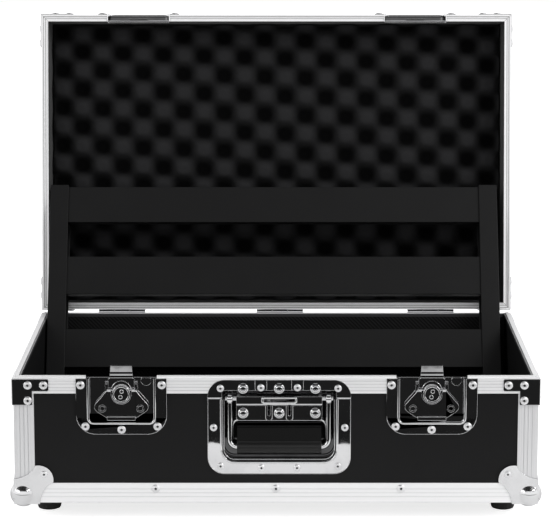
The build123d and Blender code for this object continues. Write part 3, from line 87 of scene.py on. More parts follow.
# Points this near are one, in millimetres, and turns in degrees: the edges of a frame node that
# turn less are dissolved, those that turn more are rounded, and what turns less is smooth.
WELD, FLAT_TURN, SHARP_TURN, SOFT_TURN = 0.01, 1.0, 30.0, 35.0

# The bands of painted shade across a rim, inwards from the extrusions' outer face.
BASE_RIM_SHADE_BANDS: tuple[Band, ...] = ((6.5, 7.9, 0.5), (7.9, 9.5, 0.985))
LID_RIM_SHADE_BANDS: tuple[Band, ...] = ((1.2, 1.9, 0.8), (4.1, 4.7, 0.8), (8.1, 9.5, 0.985))


def grey(level: float, blue: float = 0.0) -> Colour:
    """A grey with a little more blue."""
    return (level, level, level + blue)


def sign(value: float) -> int:
    """1 or -1, as the value is."""
    return 1 if value > 0 else -1


def case_point(x: float, y: float, z: float) -> Vector:
    """A point of the base, from case millimetres to metres in the frame."""
    return Vector((x * MM, (y - MIDDLE_Y) * MM, (z + GROUND) * MM))


def base_matrix() -> Matrix:
    """Case millimetres of the base to metres in the frame."""
    return Matrix.Translation(case_point(0, 0, 0)) @ Matrix.Scale(MM, 4)


def lid_matrix() -> Matrix:
    """Case millimetres of the shut lid to metres of the open lid."""
    hinge = case_point(0, HINGE_Y, HINGE_Z)
    turn = Matrix.Rotation(-LID_OPEN, 4, "X")
    scale = Matrix.Scale(MM, 4)
    return Matrix.Translation(hinge) @ turn @ scale @ Matrix.Translation((0, -HINGE_Y, -HINGE_Z))


class Run(Enum):
    """Which way the drawn lines of an extrusion run."""

    RING = "ring"  # round the case, along X or Y
    POST = "post"  # up the corners


class Rides(Enum):
    """A half of the case, and the body that it is in the frame."""

    BASE = "base"
    LID = "lid"

    def matrix(self) -> Matrix:
        """Case millimetres of this half to metres in the frame."""
        return base_matrix() if self is Rides.BASE else lid_matrix()


class Side(Enum):
    """The two latches, by the side of the case that they are on."""

    LEFT = -1
    RIGHT = 1

    @property
    def word(self) -> str:
        """The side's name inside node names."""
        return self.name.lower()


class Sketch:
    """Adds nodes to one node tree and links them."""

    def __init__(self, tree: bpy.types.NodeTree) -> None:
        """Work on a tree."""
        self.tree = tree

    def node(self, kind: str, **inputs: object) -> bpy.types.Node:
        """Add a node and set or link its inputs.

        Args:
            kind: The node's type after "ShaderNode".
            **inputs: Values or sockets by input name, with "_" for a space.

        Returns:
            The new node.
        """
        node = self.tree.nodes.new("ShaderNode" + kind)
        self.fill(node, **inputs)
        return node

    def fill(self, node: bpy.types.Node, **inputs: object) -> None:
        """Set or link a node's inputs, named with "_" for a space."""
        for name, value in inputs.items():
            self.feed(node.inputs[name.replace("_", " ")], value)

    def feed(self, socket: Socket, value: object) -> None:
        """Link a socket to another, or set its value.

        Args:
            socket: The input.
            value: A socket or a value.
        """
        if isinstance(value, Socket):
            self.tree.links.new(value, socket)
        else:
            socket.default_value = value

    def math(self, operation: str, *values: object) -> Socket:
        """Add a Math node.

        Args:
            operation: What it does.
            *values: One to three values or sockets.

        Returns:
            Its result.
        """
        node = self.tree.nodes.new("ShaderNodeMath")
        node.operation = operation
        for socket, value in zip(node.inputs, values):
            self.feed(socket, value)
        return node.outputs[0]


class NodeSketch(Sketch):
    """A material that is being drawn up, so that a finish reads from top to bottom."""

    def __init__(self, name: str) -> None:
        """Start a material with its shader and its Object coordinates.

        Args:
            name: The material's name.
        """
        self.material = bpy.data.materials.new(name)
        self.material.use_nodes = True
        super().__init__(self.material.node_tree)
        self.shader = self.tree.nodes["Principled BSDF"]
        self.coordinates = self.node("TexCoord").outputs["Object"]

    def placed(self, scale: Sequence[float], turn: Sequence[float] = (0, 0, 0),
               source: Socket | None = None) -> Socket:
        """Coordinates turned and scaled.

        Args:
            scale: Scale along each axis.
            turn: Turn about each axis, in radians.
            source: Coordinates to start from, the piece's own if left out.

        Returns:
            The mapped coordinates.
        """
        start = source or self.coordinates
        return self.node("Mapping", Vector=start, Scale=scale, Rotation=turn).outputs[0]

    def noise(self, scale: float, detail: float = 2.0, rough: float = 0.5,
              vector: Socket | None = None) -> Socket:
        """Add a noise, with its scale, detail and roughness, from 0 to 1."""
        return self.node("TexNoise", Scale=scale, Detail=detail, Roughness=rough,
                         Vector=vector or self.coordinates).outputs[0]

    def spread(self, value: Socket, low: float, high: float,
               source: tuple[float, float] = (0.3, 0.7)) -> Socket:
        """A value moved from its source range to low and high."""
        return self.node("MapRange", Value=value, From_Min=source[0], From_Max=source[1],
                         To_Min=low, To_Max=high).outputs[0]

    def colour(self, factor: Socket, first: object, second: object) -> None:
        """Colour the surface between two colours.

        Args:
            factor: 0 for the first colour, 1 for the second.
            first: Red, green, blue and 1, or a socket.
            second: The other colour.
        """
        node = self.tree.nodes.new("ShaderNodeMix")
        node.data_type = "RGBA"
        self.feed(node.inputs["Factor"], factor)
        self.feed(node.inputs[6], first)
        self.feed(node.inputs[7], second)
        self.feed(self.shader.inputs["Base Color"], node.outputs[2])

    def blend(self, factor: Socket, first: Colour, second: Colour) -> None:
        """Colour the surface from one plain colour at 0 to another at 1."""
        self.colour(factor, (*first, 1), (*second, 1))

    def darken(self, factor: Socket, shadow: Colour) -> None:
        """Take the surface's colour towards another one where a factor is high."""
        now = self.shader.inputs["Base Color"].links[0].from_socket
        self.colour(factor, now, (*shadow, 1))

    def bands(self, distance: Socket, bands: Sequence[Band]) -> Socket | float:
        """How dark a surface is at a distance, from bands across it.

        Args:
            distance: The distance, in metres.
            bands: The bands.

        Returns:
            The greatest share of the bands that the distance is in.
        """
        total: Socket | float = 0.0
        for low, high, share in bands:
            inside = self.math("COMPARE", distance, (low + high) / 2 * MM, (high - low) / 2 * MM)
            total = self.math("MAXIMUM", self.math("MULTIPLY", inside, share), total)
        return total

    def relief(self, height: Socket, depth: float, strength: float = 1.0) -> None:
        """Bump the surface, on top of the bumps that it has.

        Args:
            height: Height from 0 to 1.
            depth: Depth of the bumps in millimetres.
            strength: Share of the bumps that shows.
        """
        bump = self.node("Bump", Height=height, Distance=depth * MM, Strength=strength)
        if self.shader.inputs["Normal"].is_linked:
            self.feed(bump.inputs["Normal"], self.shader.inputs["Normal"].links[0].from_socket)
        self.feed(self.shader.inputs["Normal"], bump.outputs[0])


@dataclass(frozen=True)
class Finish(ABC):
    """The look of a surface."""

    name: str

    @abstractmethod
    def draw(self, s: NodeSketch) -> None:
        """Draw the finish up.

        Args:
            s: The sketch of its material.
        """

    def build(self) -> Material:
        """The finish as a material."""
        s = NodeSketch(self.name)
        self.draw(s)
        return s.material


@dataclass(frozen=True)
class Laminate(Finish):
    """Black laminate over plywood: fine satin grain, a little dust."""

    name: str = "black_laminate"
    dark: Colour = grey(0.004, 0.0003)
    light: Colour = grey(0.0055, 0.0003)
    patch: float = 14.0
    haze: float = 60.0
    polish: tuple[float, float] = (0.46, 0.56)
    shine: float = 0.2
    grain: float = 900.0
    depth: float = 0.05

    def draw(self, s: NodeSketch) -> None:
        """Draw the finish up.

        Args:
            s: The sketch of its material.
        """
        s.blend(s.noise(self.patch, 4.0), self.dark, self.light)
        s.relief(s.noise(self.grain, 3.0, 0.6), self.depth, 0.5)
        s.fill(s.shader, Roughness=s.spread(s.noise(self.haze, 3.0), *self.polish),
               Specular_IOR_Level=self.shine)


@dataclass(frozen=True)
class DrawnAluminium(Finish):
    """Clear anodised aluminium with the lines of the die, and painted shade in its grooves.

    The grooves of painted shade are heights in the case, or on a post distances in from its corner,
    and the bands of painted shade run along a rim, inwards from the extrusions' outer face.
    """

    run: Run
    rides: Rides
    grooves: tuple[float, ...]
    dark: Colour = grey(0.84, 0.01)
    light: Colour = grey(0.95, 0.005)
    bands: tuple[Band, ...] = ()
    groove_half: float = 0.5
    groove_shade: float = 0.16
    shadow: Colour = grey(0.03, 0.002)
    fine: float = 1300.0
    drawn: float = 6.0
    depth: float = 0.012
    polish: tuple[float, float] = (0.4, 0.52)
    metal: float = 0.45

    def draw(self, s: NodeSketch) -> None:
        """Draw the finish up.

        Args:
            s: The sketch of its material.
        """
        source, fine, drawn = s.coordinates, self.fine, self.drawn
        middle, ground = case_point(0, DEPTH / 2, 0).y, -GROUND
        if self.rides is Rides.LID:
            moved = s.node("Mapping", Vector=source, Location=-case_point(0, HINGE_Y, HINGE_Z))
            source = s.placed((1, 1, 1), (LID_OPEN, 0, 0), moved.outputs[0])
            middle, ground = (DEPTH / 2 - HINGE_Y) * MM, HINGE_Z

        def streaks(*scale: float) -> Socket:
            """Noise that is drawn out along one axis."""
            return s.noise(1.0, 3.0, 0.6, s.placed(scale, source=source))

        split = s.node("SeparateXYZ", Vector=source)
        beside = s.math("SUBTRACT", s.math("ABSOLUTE", split.outputs[0]), WIDTH / 2 * MM)
        ahead = s.math("ABSOLUTE", s.math("SUBTRACT", split.outputs[1], middle))
        ahead = s.math("SUBTRACT", ahead, DEPTH / 2 * MM)
        if self.run is Run.POST:
            lines = streaks(fine, fine, drawn)
            inwards = s.math("MULTIPLY", s.math("MINIMUM", beside, ahead), -1.0)
            across, ground = inwards, 0.0
        else:
            front, side = streaks(drawn, fine, fine), streaks(fine, drawn, fine)
            on_side = s.math("GREATER_THAN", beside, ahead)
            lines = s.math("MULTIPLY_ADD", on_side, s.math("SUBTRACT", side, front), front)
            inwards = s.math("MULTIPLY", s.math("MAXIMUM", beside, ahead), -1.0)
            across = split.outputs[2]
        s.blend(s.spread(lines, 0, 1), self.dark, self.light)
        # Painted shade: darker in the grooves and in the bands along a rim.
        cuts = [(place - ground - self.groove_half, place - ground + self.groove_half,
                 self.groove_shade) for place in self.grooves]
        s.darken(s.math("MAXIMUM", s.bands(across, cuts), s.bands(inwards, self.bands)), self.shadow)
        s.relief(lines, self.depth, 0.35)
        s.fill(s.shader, Metallic=self.metal, Roughness=s.spread(lines, *self.polish))


@dataclass(frozen=True)
class Chrome(Finish):
    """Bright plated steel, with the slight waviness of pressed sheet and a few smudges."""

    name: str = "chrome"
    bright: Colour = grey(0.8, 0.01)
    dull: Colour = grey(0.7, 0.015)
    wave: float = 0.12
    polish: tuple[float, float] = (0.02, 0.05)
    smudges: float = 38.0
    ripple: float = 55.0

    def draw(self, s: NodeSketch) -> None:
        """Draw the finish up.

        Args:
            s: The sketch of its material.
        """
        smudge = s.noise(self.smudges, 5.0, 0.65)
        s.blend(s.spread(smudge, 0, 1, (0.45, 0.75)), self.bright, self.dull)
        s.relief(s.noise(self.ripple, 1.0), self.wave, 0.5)
        s.fill(s.shader, Metallic=1.0, Roughness=s.spread(smudge, *self.polish))


@dataclass(frozen=True)
class Speckled(Finish):
    """A plain moulded or coated surface with a fine speckle: rubber, powder coat, felt."""

    dark: Colour
    light: Colour
    polish: tuple[float, float]
    grain: float
    depth: float
    patch: float = 20.0
    sheen: float = 0.0
    shine: float = 0.5

    def draw(self, s: NodeSketch) -> None:
        """Draw the finish up.

        Args:
            s: The sketch of its material.
        """
        s.blend(s.noise(self.patch, 4.0), self.dark, self.light)
        fine = s.noise(self.grain, 3.0, 0.6)
        s.relief(fine, self.depth, 0.6)
        s.fill(s.shader, Roughness=s.spread(fine, *self.polish), Sheen_Weight=self.sheen,
               Specular_IOR_Level=self.shine)


@dataclass(frozen=True)
class RibbedLining(Finish):
    """Thin dark lining with narrow diagonal ribs, and painted shade between the ribs."""

    name: str = "ribbed_lining"
    dark: Colour = grey(0.0015, 0.0001)
    light: Colour = grey(0.012, 0.0005)
    pitch: float = 3.8
    depth: float = 0.5
    weave: float = 1500.0
    weave_depth: float = 0.08

    def draw(self, s: NodeSketch) -> None:
        """Draw the finish up.

        Args:
            s: The sketch of its material.
        """
        split = s.node("SeparateXYZ", Vector=s.coordinates)
        flat = s.math("ADD", split.outputs[0], split.outputs[1])
        along = s.math("ADD", flat, split.outputs[2])
        step = self.pitch * MM * 1.414  # between two ribs, along one axis
        wave = s.math("SINE", s.math("MULTIPLY", along, 2 * math.pi / step))
        rib = s.spread(wave, 0, 1, (-1, 1))
        # Painted shade: darker where the rib dips, lighter on its crest.
        s.blend(rib, self.dark, self.light)
        s.relief(rib, self.depth, 0.6)
        s.relief(s.noise(self.weave, 2.0), self.weave_depth, 0.5)
        s.fill(s.shader, Roughness=0.75, Specular_IOR_Level=0.15)


@dataclass(frozen=True)
class Foam(Finish):
    """Open-cell charcoal foam: fine pores, and painted shade down in its hollows."""

    name: str = "charcoal_foam"
    dark: Colour = grey(0.001, 0.0001)
    light: Colour = grey(0.021, 0.001)
    pore: float = 1400.0
    pore_depth: float = 0.5
    pore_tone: tuple[float, float] = (0.75, 1.2)

    def draw(self, s: NodeSketch) -> None:
        """Draw the finish up.

        Args:
            s: The sketch of its material.
        """
        height = s.node("Attribute")
        height.attribute_name = "height"
        pores = s.noise(self.pore, 4.0, 0.7)
        # Painted shade: the colour follows the height of the face, dark in the hollows and lighter
        # on the peaks.
        tone = s.math("MULTIPLY", height.outputs["Fac"], s.spread(pores, *self.pore_tone))
        s.blend(tone, self.dark, self.light)
        s.relief(pores, self.pore_depth, 0.8)
        s.fill(s.shader, Roughness=0.95, Sheen_Weight=0.05, Specular_IOR_Level=0.05)


def added(name: str, data: bpy.types.ID) -> Piece:
    """Add an object to the scene.

    Args:
        name: Its name.
        data: Its mesh, lamp or camera.

    Returns:
        The new object.
    """
    piece = bpy.data.objects.new(name, data)
    bpy.context.collection.objects.link(piece)
    return piece


def clear_selection() -> None:
    """Deselect every object, so that an operator acts on the new one alone."""
    bpy.ops.object.select_all(action="DESELECT")


def select_only(piece: Piece) -> None:
    """Select one piece and make it the active one."""
    clear_selection()
    piece.select_set(True)
    bpy.context.view_layer.objects.active = piece


@contextmanager
def editing(piece: Piece) -> Iterator[None]:
    """Put one piece in edit mode with all of it selected, and come back to object mode.

    Args:
        piece: The piece.
    """
    select_only(piece)
    bpy.ops.object.mode_set(mode="EDIT")
    bpy.ops.mesh.select_all(action="SELECT")
    yield
    bpy.ops.object.mode_set(mode="OBJECT")


def primitive(kind: str, matrix: Matrix = Matrix.Identity(4), **settings: object) -> Piece:
    """Add one of Blender's primitive meshes.

    Args:
        kind: Its name in Blender.
        matrix: Where it goes.
        **settings: Its sizes.

    Returns:
        The new piece, its place in its mesh.
    """
    clear_selection()
    getattr(bpy.ops.mesh, f"primitive_{kind}_add")(**settings)
    return place(bpy.context.object, matrix)


def face_outwards() -> None:
    """Turn every face of the piece in edit mode outwards."""
    bpy.ops.mesh.select_all(action="SELECT")
    bpy.ops.mesh.normals_make_consistent(inside=False)


def pick(piece: Piece, mode: str, wanted: Callable[[object], bool]) -> None:
    """Select vertices or edges of the piece in edit mode.

    Args:
        piece: The piece in edit mode.
        mode: "VERT" or "EDGE".
        wanted: Says whether an element is selected.
    """
    bpy.ops.mesh.select_all(action="DESELECT")
    bpy.ops.mesh.select_mode(type=mode)
    shape = bmesh.from_edit_mesh(piece.data)
    for element in {"VERT": shape.verts, "EDGE": shape.edges}[mode]:
        if wanted(element):
            element.select_set(True)
    shape.select_flush_mode()
    bmesh.update_edit_mesh(piece.data)


def apply_modifier(piece: Piece, kind: str, **settings: object) -> None:
    """Add one modifier and apply it.

    Args:
        piece: The piece.
        kind: The modifier's type.
        **settings: Its settings.
    """
    modifier = piece.modifiers.new(kind.lower(), kind)
    for name, value in settings.items():
        setattr(modifier, name, value)
    select_only(piece)
    bpy.ops.object.modifier_apply(modifier=modifier.name)


def cut_away(piece: Piece, tool: Piece) -> None:
    """Take a closed tool out of a piece, and use the tool up."""
    apply_modifier(piece, "BOOLEAN", operation="DIFFERENCE", object=tool, solver="EXACT")
    bpy.data.objects.remove(tool)


def smooth(piece: Piece, degrees: float = 50.0) -> None:
    """Shade a piece smooth where its faces meet at less than an angle."""
    select_only(piece)
    bpy.ops.object.shade_smooth_by_angle(angle=math.radians(degrees))


def place(piece: Piece, matrix: Matrix) -> Piece:
    """Move a piece's mesh and leave its object at the origin.

    Args:
        piece: The piece.
        matrix: The move.

    Returns:
        The piece.
    """
    whole = matrix @ piece.matrix_world
    piece.data.transform(whole)
    if whole.determinant() < 0:
        piece.data.flip_normals()
    piece.matrix_world = Matrix.Identity(4)
    return piece


def dress(piece: Piece, material: Material) -> None:
    """Give every material slot of a piece one finish.

    Args:
        piece: The piece.
        material: Its finish.
    """
    if not piece.material_slots:
        piece.data.materials.append(material)
    for slot in piece.material_slots:
        slot.link = "OBJECT"
        slot.material = material


def dress_faces(piece: Piece, material: Material, half: Rides,
                wanted: Callable[[bpy.types.MeshPolygon, Vector], bool]) -> None:
    """Give some faces of a dressed piece a finish of their own.

    Args:
        piece: The piece.
        material: The finish of those faces.
        half: The half of the case that it is in.
        wanted: Says whether a face has it, from the face and its middle in case millimetres.
    """
    piece.data.materials.append(material)
    slot = piece.material_slots[-1]
    slot.link = "OBJECT"
    slot.material = material
    back = half.matrix().inverted()
    for face in piece.data.polygons:
        if wanted(face, back @ face.center):
            face.material_index = len(piece.material_slots) - 1


def settle(piece: Piece, name: str, body: str, slot: str, material: Material,
           *replaced: str) -> Piece:
    """Name a finished piece, dress it and make it ride on its body.

    Args:
        piece: The finished piece, its place in its mesh.
        name: The piece's name.
        body: The body that it rides on.
        slot: The record's material slot; not used.
        material: Its finish.
        *replaced: Frame nodes that it stands for.

    Returns:
        The piece.
    """
    piece.name = name
    piece.data.name = name
    dress(piece, material)
    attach(piece, body)
    if replaced:
        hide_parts(*replaced)
    LOG.info("%s: %d faces, rides on %s", name, len(piece.data.polygons), body)
    return piece


def join(*pieces: Piece) -> Piece:
    """Join pieces.

    Args:
        *pieces: The pieces.

    Returns:
        The first of them, with the others in it.
    """
    clear_selection()
    for piece in pieces:
        piece.select_set(True)
    bpy.context.view_layer.objects.active = pieces[0]
    bpy.ops.object.join()
    return pieces[0]


def copies(model: Piece, places: Sequence[Matrix]) -> Piece:
    """Copies of a model at several places, each from a mesh of its own, joined into one piece.

    Args:
        model: The piece that is repeated, used up.
        places: Where each copy goes.

    Returns:
        The joined piece.
    """
    made = [place(added(model.name, model.data.copy()), matrix) for matrix in places]
    bpy.data.objects.remove(model)
    return join(*made)


def turned(profile: Sequence[tuple[float, float]], around: int = 32) -> Piece:
    """Turn a profile round Z, closed flat at both ends.

    Args:
        profile: Radius and height of each ring, from the bottom up.
        around: Number of sides.

    Returns:
        The turned piece.
    """
    radius, height = profile[0]
    piece = primitive("circle", Matrix.Translation((0, 0, height)), vertices=around,
                      radius=radius, fill_type="NGON")
    with editing(piece):
        for (wide, low), (next_wide, high) in pairwise(profile):
            bpy.ops.mesh.extrude_region_move(TRANSFORM_OT_translate={"value": (0, 0, high - low)})
            ratio = next_wide / wide
            bpy.ops.transform.resize(value=(ratio, ratio, 1), center_override=(0, 0, high))
        face_outwards()
    smooth(piece)
    return piece


class Mouth(Enum):
    """The side on which a rectangular bead is left open."""

    NONE = 0
    TOP = 1
    BOTTOM = -1


@dataclass(frozen=True)
class Bead:
    """Round bead along a rectangle with rounded corners, standing in the plane of one y.

    The corners beside an open side stay sharp.  All sizes are in the units of the case.
    """

    x_reach: tuple[float, float]
    z_reach: tuple[float, float]
    y: float
    radius: float
    corner: float
    mouth: Mouth = Mouth.NONE
    corner_steps: int = 8
    round_steps: int = 3

    def outline(self) -> Piece:
        """The middle line of the bead, as loose edges."""
        (left, right), (low, high) = self.x_reach, self.z_reach
        middle_z = (low + high) / 2
        middle = Matrix.Translation(((left + right) / 2, self.y, middle_z))
        grow = Matrix.Diagonal((right - left, 1, high - low, 1))
        wire = primitive("plane", middle @ grow, size=1, rotation=(math.pi / 2, 0, 0))
        with editing(wire):
            pick(wire, "VERT", lambda v: self.mouth is Mouth.NONE
                 or (v.co.z - middle_z) * self.mouth.value < 0)
            bpy.ops.mesh.bevel(offset=self.corner, segments=self.corner_steps, affect="VERTICES")
            bpy.ops.mesh.select_all(action="SELECT")
            bpy.ops.mesh.delete(type="ONLY_FACE")
            if self.mouth is not Mouth.NONE:
                edge_z = high if self.mouth is Mouth.TOP else low
                pick(wire, "EDGE", lambda e: all(abs(v.co.z - edge_z) < WELD for v in e.verts)
                     and e.calc_length() > (right - left) / 2)
                bpy.ops.mesh.delete(type="EDGE")
        return wire

    def build(self) -> Piece:
        """The bead as a closed round tube."""
        select_only(self.outline())
        bpy.ops.object.convert(target="CURVE")
        curve = bpy.context.object.data
        curve.bevel_depth = self.radius
        curve.bevel_resolution = self.round_steps
        curve.use_fill_caps = True
        bpy.ops.object.convert(target="MESH")
        tube = bpy.context.object
        smooth(tube)
        return tube


def softened(node: Piece, width: float, segments: int = 2,
             reshape: Callable[[Piece], None] | None = None) -> Piece:
    """A copy of a frame node whose sharp edges are rounded.

    Args:
        node: The frame node, left as it is.
        width: Width of the rounding in millimetres.
        segments: Faces across the rounding.
        reshape: What is done to the copy before its edges are rounded.

    Returns:
        The copy, its place in its mesh.
    """
    copy = added(node.name + "_soft", node.data.copy())
    with editing(copy):
        bpy.ops.mesh.remove_doubles(threshold=WELD * MM)
        bpy.ops.mesh.dissolve_limited(angle_limit=math.radians(FLAT_TURN))
        bpy.ops.mesh.normals_make_consistent(inside=False)
    if reshape:
        reshape(copy)
    apply_modifier(copy, "BEVEL", width=width * MM, segments=segments, limit_method="ANGLE",
                   angle_limit=math.radians(SHARP_TURN), use_clamp_overlap=False)
    smooth(copy, SOFT_TURN)
    apply_modifier(copy, "WEIGHTED_NORMAL", mode="FACE_AREA", weight=50, keep_sharp=True)
    return copy


def islands(node: Piece, matrix: Matrix) -> list[tuple[Vector, Vector]]:
    """Lowest and highest corner of each loose part of a node, in case millimetres.

    Args:
        node: The frame node, left as it is.
        matrix: Case millimetres to metres for the half that it is in.

    Returns:
        One pair of corners for each loose part.
    """
    shape = bmesh.new()
    shape.from_mesh(node.data)
    shape.transform(matrix.inverted())
    bmesh.ops.remove_doubles(shape, verts=shape.verts, dist=WELD)
    boxes, seen = [], set()
    for start in shape.verts:
        if start in seen:
            continue
        part, waiting = [], [start]
        seen.add(start)
        while waiting:
            vertex = waiting.pop()
            part.append(vertex.co.copy())
            fresh = {edge.other_vert(vertex) for edge in vertex.link_edges} - seen
            seen |= fresh
            waiting.extend(fresh)
        boxes.append((Vector(map(min, zip(*part))), Vector(map(max, zip(*part)))))
    shape.free()
    return boxes


def head_places(node: Piece, matrix: Matrix, radius: float) -> list[Matrix]:
    """Where the heads of a node sit: each matrix takes a head on z = 0, facing +z, to its place.

    Args:
        node: The frame node of flat heads.
        matrix: Case millimetres to metres for the half that it is in.
        radius: Radius of the modelled head, in millimetres.

    Returns:
        One matrix for each head, into metres.
    """
    centre = Vector((0, DEPTH / 2, LID_RIM / 2 if matrix == base_matrix() else LID_RIM))
    found = []
    for low, high in islands(node, matrix):
        size, middle = high - low, (high + low) / 2
        axis = min(range(3), key=lambda i: size[i])
        out = sign(middle[axis] - centre[axis])
        foot = middle.copy()
        foot[axis] = low[axis] if out > 0 else high[axis]
        facing = Vector((0, 0, 0))
        facing[axis] = out
        turn = facing.to_track_quat("Z", "Y").to_matrix().to_4x4()
        grow = Matrix.Scale(max(size) / (2 * radius), 4)
        found.append(matrix @ Matrix.Translation(foot) @ turn @ grow)
    return found


class Finishes:
    """Every finish, made once."""

    def __init__(self) -> None:
        """Make the materials."""
        edge = tuple(step * LEG for step in (0.3, 0.5, 0.7))
        rim = tuple(step * RIM_FLANGE for step in (0.2, 0.4, 0.6, 0.8))
        top = LID_RIM + LID_HEIGHT
        # Painted light and shade: the base's ring and the lid's rim take a brighter copy of the
        # aluminium, the posts a darker one.
        bright = (grey(0.92, 0.01), grey(0.98, 0.005))
        post = (edge, grey(0.68, 0.01), grey(0.8, 0.01))
        self.base_ring = DrawnAluminium("aluminium_base", Run.RING, Rides.BASE,
                                        (0.3, *edge), *bright).build()
        self.base_rim = DrawnAluminium("aluminium_base_rim", Run.RING, Rides.BASE,
                                       tuple(BASE_HEIGHT - step for step in rim),
                                       bands=BASE_RIM_SHADE_BANDS).build()
        self.base_post = DrawnAluminium("aluminium_base_post", Run.POST, Rides.BASE, *post).build()
        self.lid_ring = DrawnAluminium("aluminium_lid", Run.RING, Rides.LID,
                                       tuple(top - step for step in edge)).build()
        self.lid_rim = DrawnAluminium("aluminium_lid_rim", Run.RING, Rides.LID,
                                      tuple(LID_RIM + step for step in rim),
                                      *bright, LID_RIM_SHADE_BANDS).build()
        self.lid_post = DrawnAluminium("aluminium_lid_post", Run.POST, Rides.LID, *post).build()
        self.laminate = Laminate().build()
        self.chrome = Chrome().build()
        self.steel = Chrome("rivet_steel", grey(0.92, 0.01), grey(0.82, 0.01), 0.02,
                            (0.36, 0.46)).build()
        self.corner = Chrome("corner_plate", grey(0.82, 0.01), grey(0.74, 0.01), 0.05,
                             (0.1, 0.16)).build()
        # Painted shade: a dark copy of the chrome for the deep faces of the cups and the handle's
        # dish, and for the wing's raised rings.
        self.shade = Chrome("chrome_deep", grey(0.1, 0.002), grey(0.07, 0.002)).build()
        # Painted shade: a darker copy of the chrome for the hook plate where it stands above the
        # rim.
        self.hook = Chrome("hook_plate", grey(0.4, 0.005), grey(0.3, 0.005)).build()
        self.gloss = Speckled("grip_gloss", grey(0.001), grey(0.002), (0.1, 0.14), 300.0, 0.02,
                              shine=0.12).build()
        # Painted shade: near black for the floor of each rivet's dimple.
        self.hole = Speckled("rivet_hole", grey(0.01), grey(0.02), (0.5, 0.6), 900.0, 0.02).build()
        self.rubber = Speckled("grip_rubber", grey(0.004), grey(0.008), (0.3, 0.4), 700.0, 0.06,
                               shine=0.35).build()
        self.foot = Speckled("foot_rubber", grey(0.01), grey(0.018), (0.62, 0.75), 600.0,
                             0.1).build()
        self.coat = Speckled("powder_coat", grey(0.009, 0.0003), grey(0.0115, 0.0003), (0.4, 0.48),
                             1100.0, 0.04, shine=0.16).build()
        self.felt = Speckled("lid_lining", grey(0.026, 0.001), grey(0.04, 0.001), (0.85, 0.95),
                             1500.0, 0.12, sheen=0.1).build()
        self.lining = RibbedLining().build()
        self.foam = Foam().build()

    def of_node(self, name: str) -> Material:
        """The finish of a frame node.

        Args:
            name: The node's name.

        Returns:
            The finish of the first pattern that the name fits.
        """
        patterns = {
            "*_panel": self.laminate,
            "lid*corner_extrusions": self.lid_post,
            "*corner_extrusions": self.base_post,
            "lid*_rim": self.lid_rim,
            "*_rim": self.base_rim,
            "lid_rim_extrusions": self.lid_rim,
            "lid*extrusions*": self.lid_ring,
            "*extrusions*": self.base_ring,
            "*feet": self.foot,
            "board*": self.coat,
            "*rivets*": self.steel,
            "*bolts*": self.steel,
            "lid_lining": self.felt,
            "base_lining": self.lining,
            "base_floor_pad": self.lining,
            "handle_grip": self.rubber,
            "*": self.chrome,
        }
        return next(finish for pattern, finish in patterns.items() if fnmatch(name, pattern))


@dataclass
class Hardware:
    """A group of pieces that stand for frame nodes."""

    nodes: dict[str, Piece]
    finishes: Finishes

    def chromed(self, piece: Piece, name: str, body: str, *replaced: str) -> Piece:
        """Settle a finished piece that is plated all over, and give it back."""
        return settle(piece, name, body, "chrome", self.finishes.chrome, *replaced)

    def rounded(self, node: str, ending: str, body: str, edge: float, segments: int = 2,
                reshape: Callable[[Piece], None] | None = None) -> Piece:
        """Settle a plated copy of a frame node, its sharp edges rounded.

        Args:
            node: The node's name, and the start of the copy's name.
            ending: The end of the copy's name.
            body: The body that it rides on.
            edge: Width of the rounding in millimetres.
            segments: Faces across the rounding.
            reshape: What is done to the copy before its edges are rounded.

        Returns:
            The copy.
        """
        piece = softened(self.nodes[node], edge, segments, reshape)
        return self.chromed(piece, node + ending, body, node)


@dataclass
class CornerHardware(Hardware):
    """Ball corners and corner braces of both halves."""

    ball_radius: float = 16.43
    ball_inset: float = 9.5
    room: float = 60.0
    leg_edge: float = 0.45
    brace_edge: float = 0.5

    def corner_places(self, half: Rides) -> list[Matrix]:
        """Place of each corner of a half; a corner's own axes run from its tip into the case.

        Args:
            half: The half of the case.

        Returns:
            One matrix for each corner, into metres.
        """
        height = 0 if half is Rides.BASE else LID_RIM + LID_HEIGHT
        flip = 1 if half is Rides.BASE else -1
        return [half.matrix() @ Matrix.Translation((x, y, height))
                @ Matrix.Diagonal((-sign(x), sign(DEPTH / 2 - y), flip, 1))
                for x in (-WIDTH / 2, WIDTH / 2) for y in (0, DEPTH)]

    def ball(self) -> Piece:
        """The bulb of a ball corner, open where the case's corner is in it."""
        bulb = primitive("uv_sphere", segments=48, ring_count=24, radius=self.ball_radius,
                         location=(self.ball_inset,) * 3,
                         rotation=(math.atan(math.sqrt(2)), 0, -math.pi / 4))
        cut_away(bulb, primitive("cube", size=self.room, location=(self.room / 2,) * 3))
        smooth(bulb, SOFT_TURN)
        return bulb

    def build(self) -> None:
        """Round the pressed edges, and give every corner a true bulb."""
        for half in Rides:
            body = half.value
            balls, braces = f"{body}_ball_corners", f"{body}_corner_braces"
            legs = softened(self.nodes[balls], self.leg_edge)
            flat = len(legs.data.polygons)
            whole = join(legs, copies(self.ball(), self.corner_places(half)))
            settle(whole, balls + "_plated", body, "chrome", self.finishes.corner, balls)
            dress_faces(whole, self.finishes.chrome, half, lambda f, centre: f.index >= flat)
            self.rounded(braces, "_plated", body, self.brace_edge, segments=3)


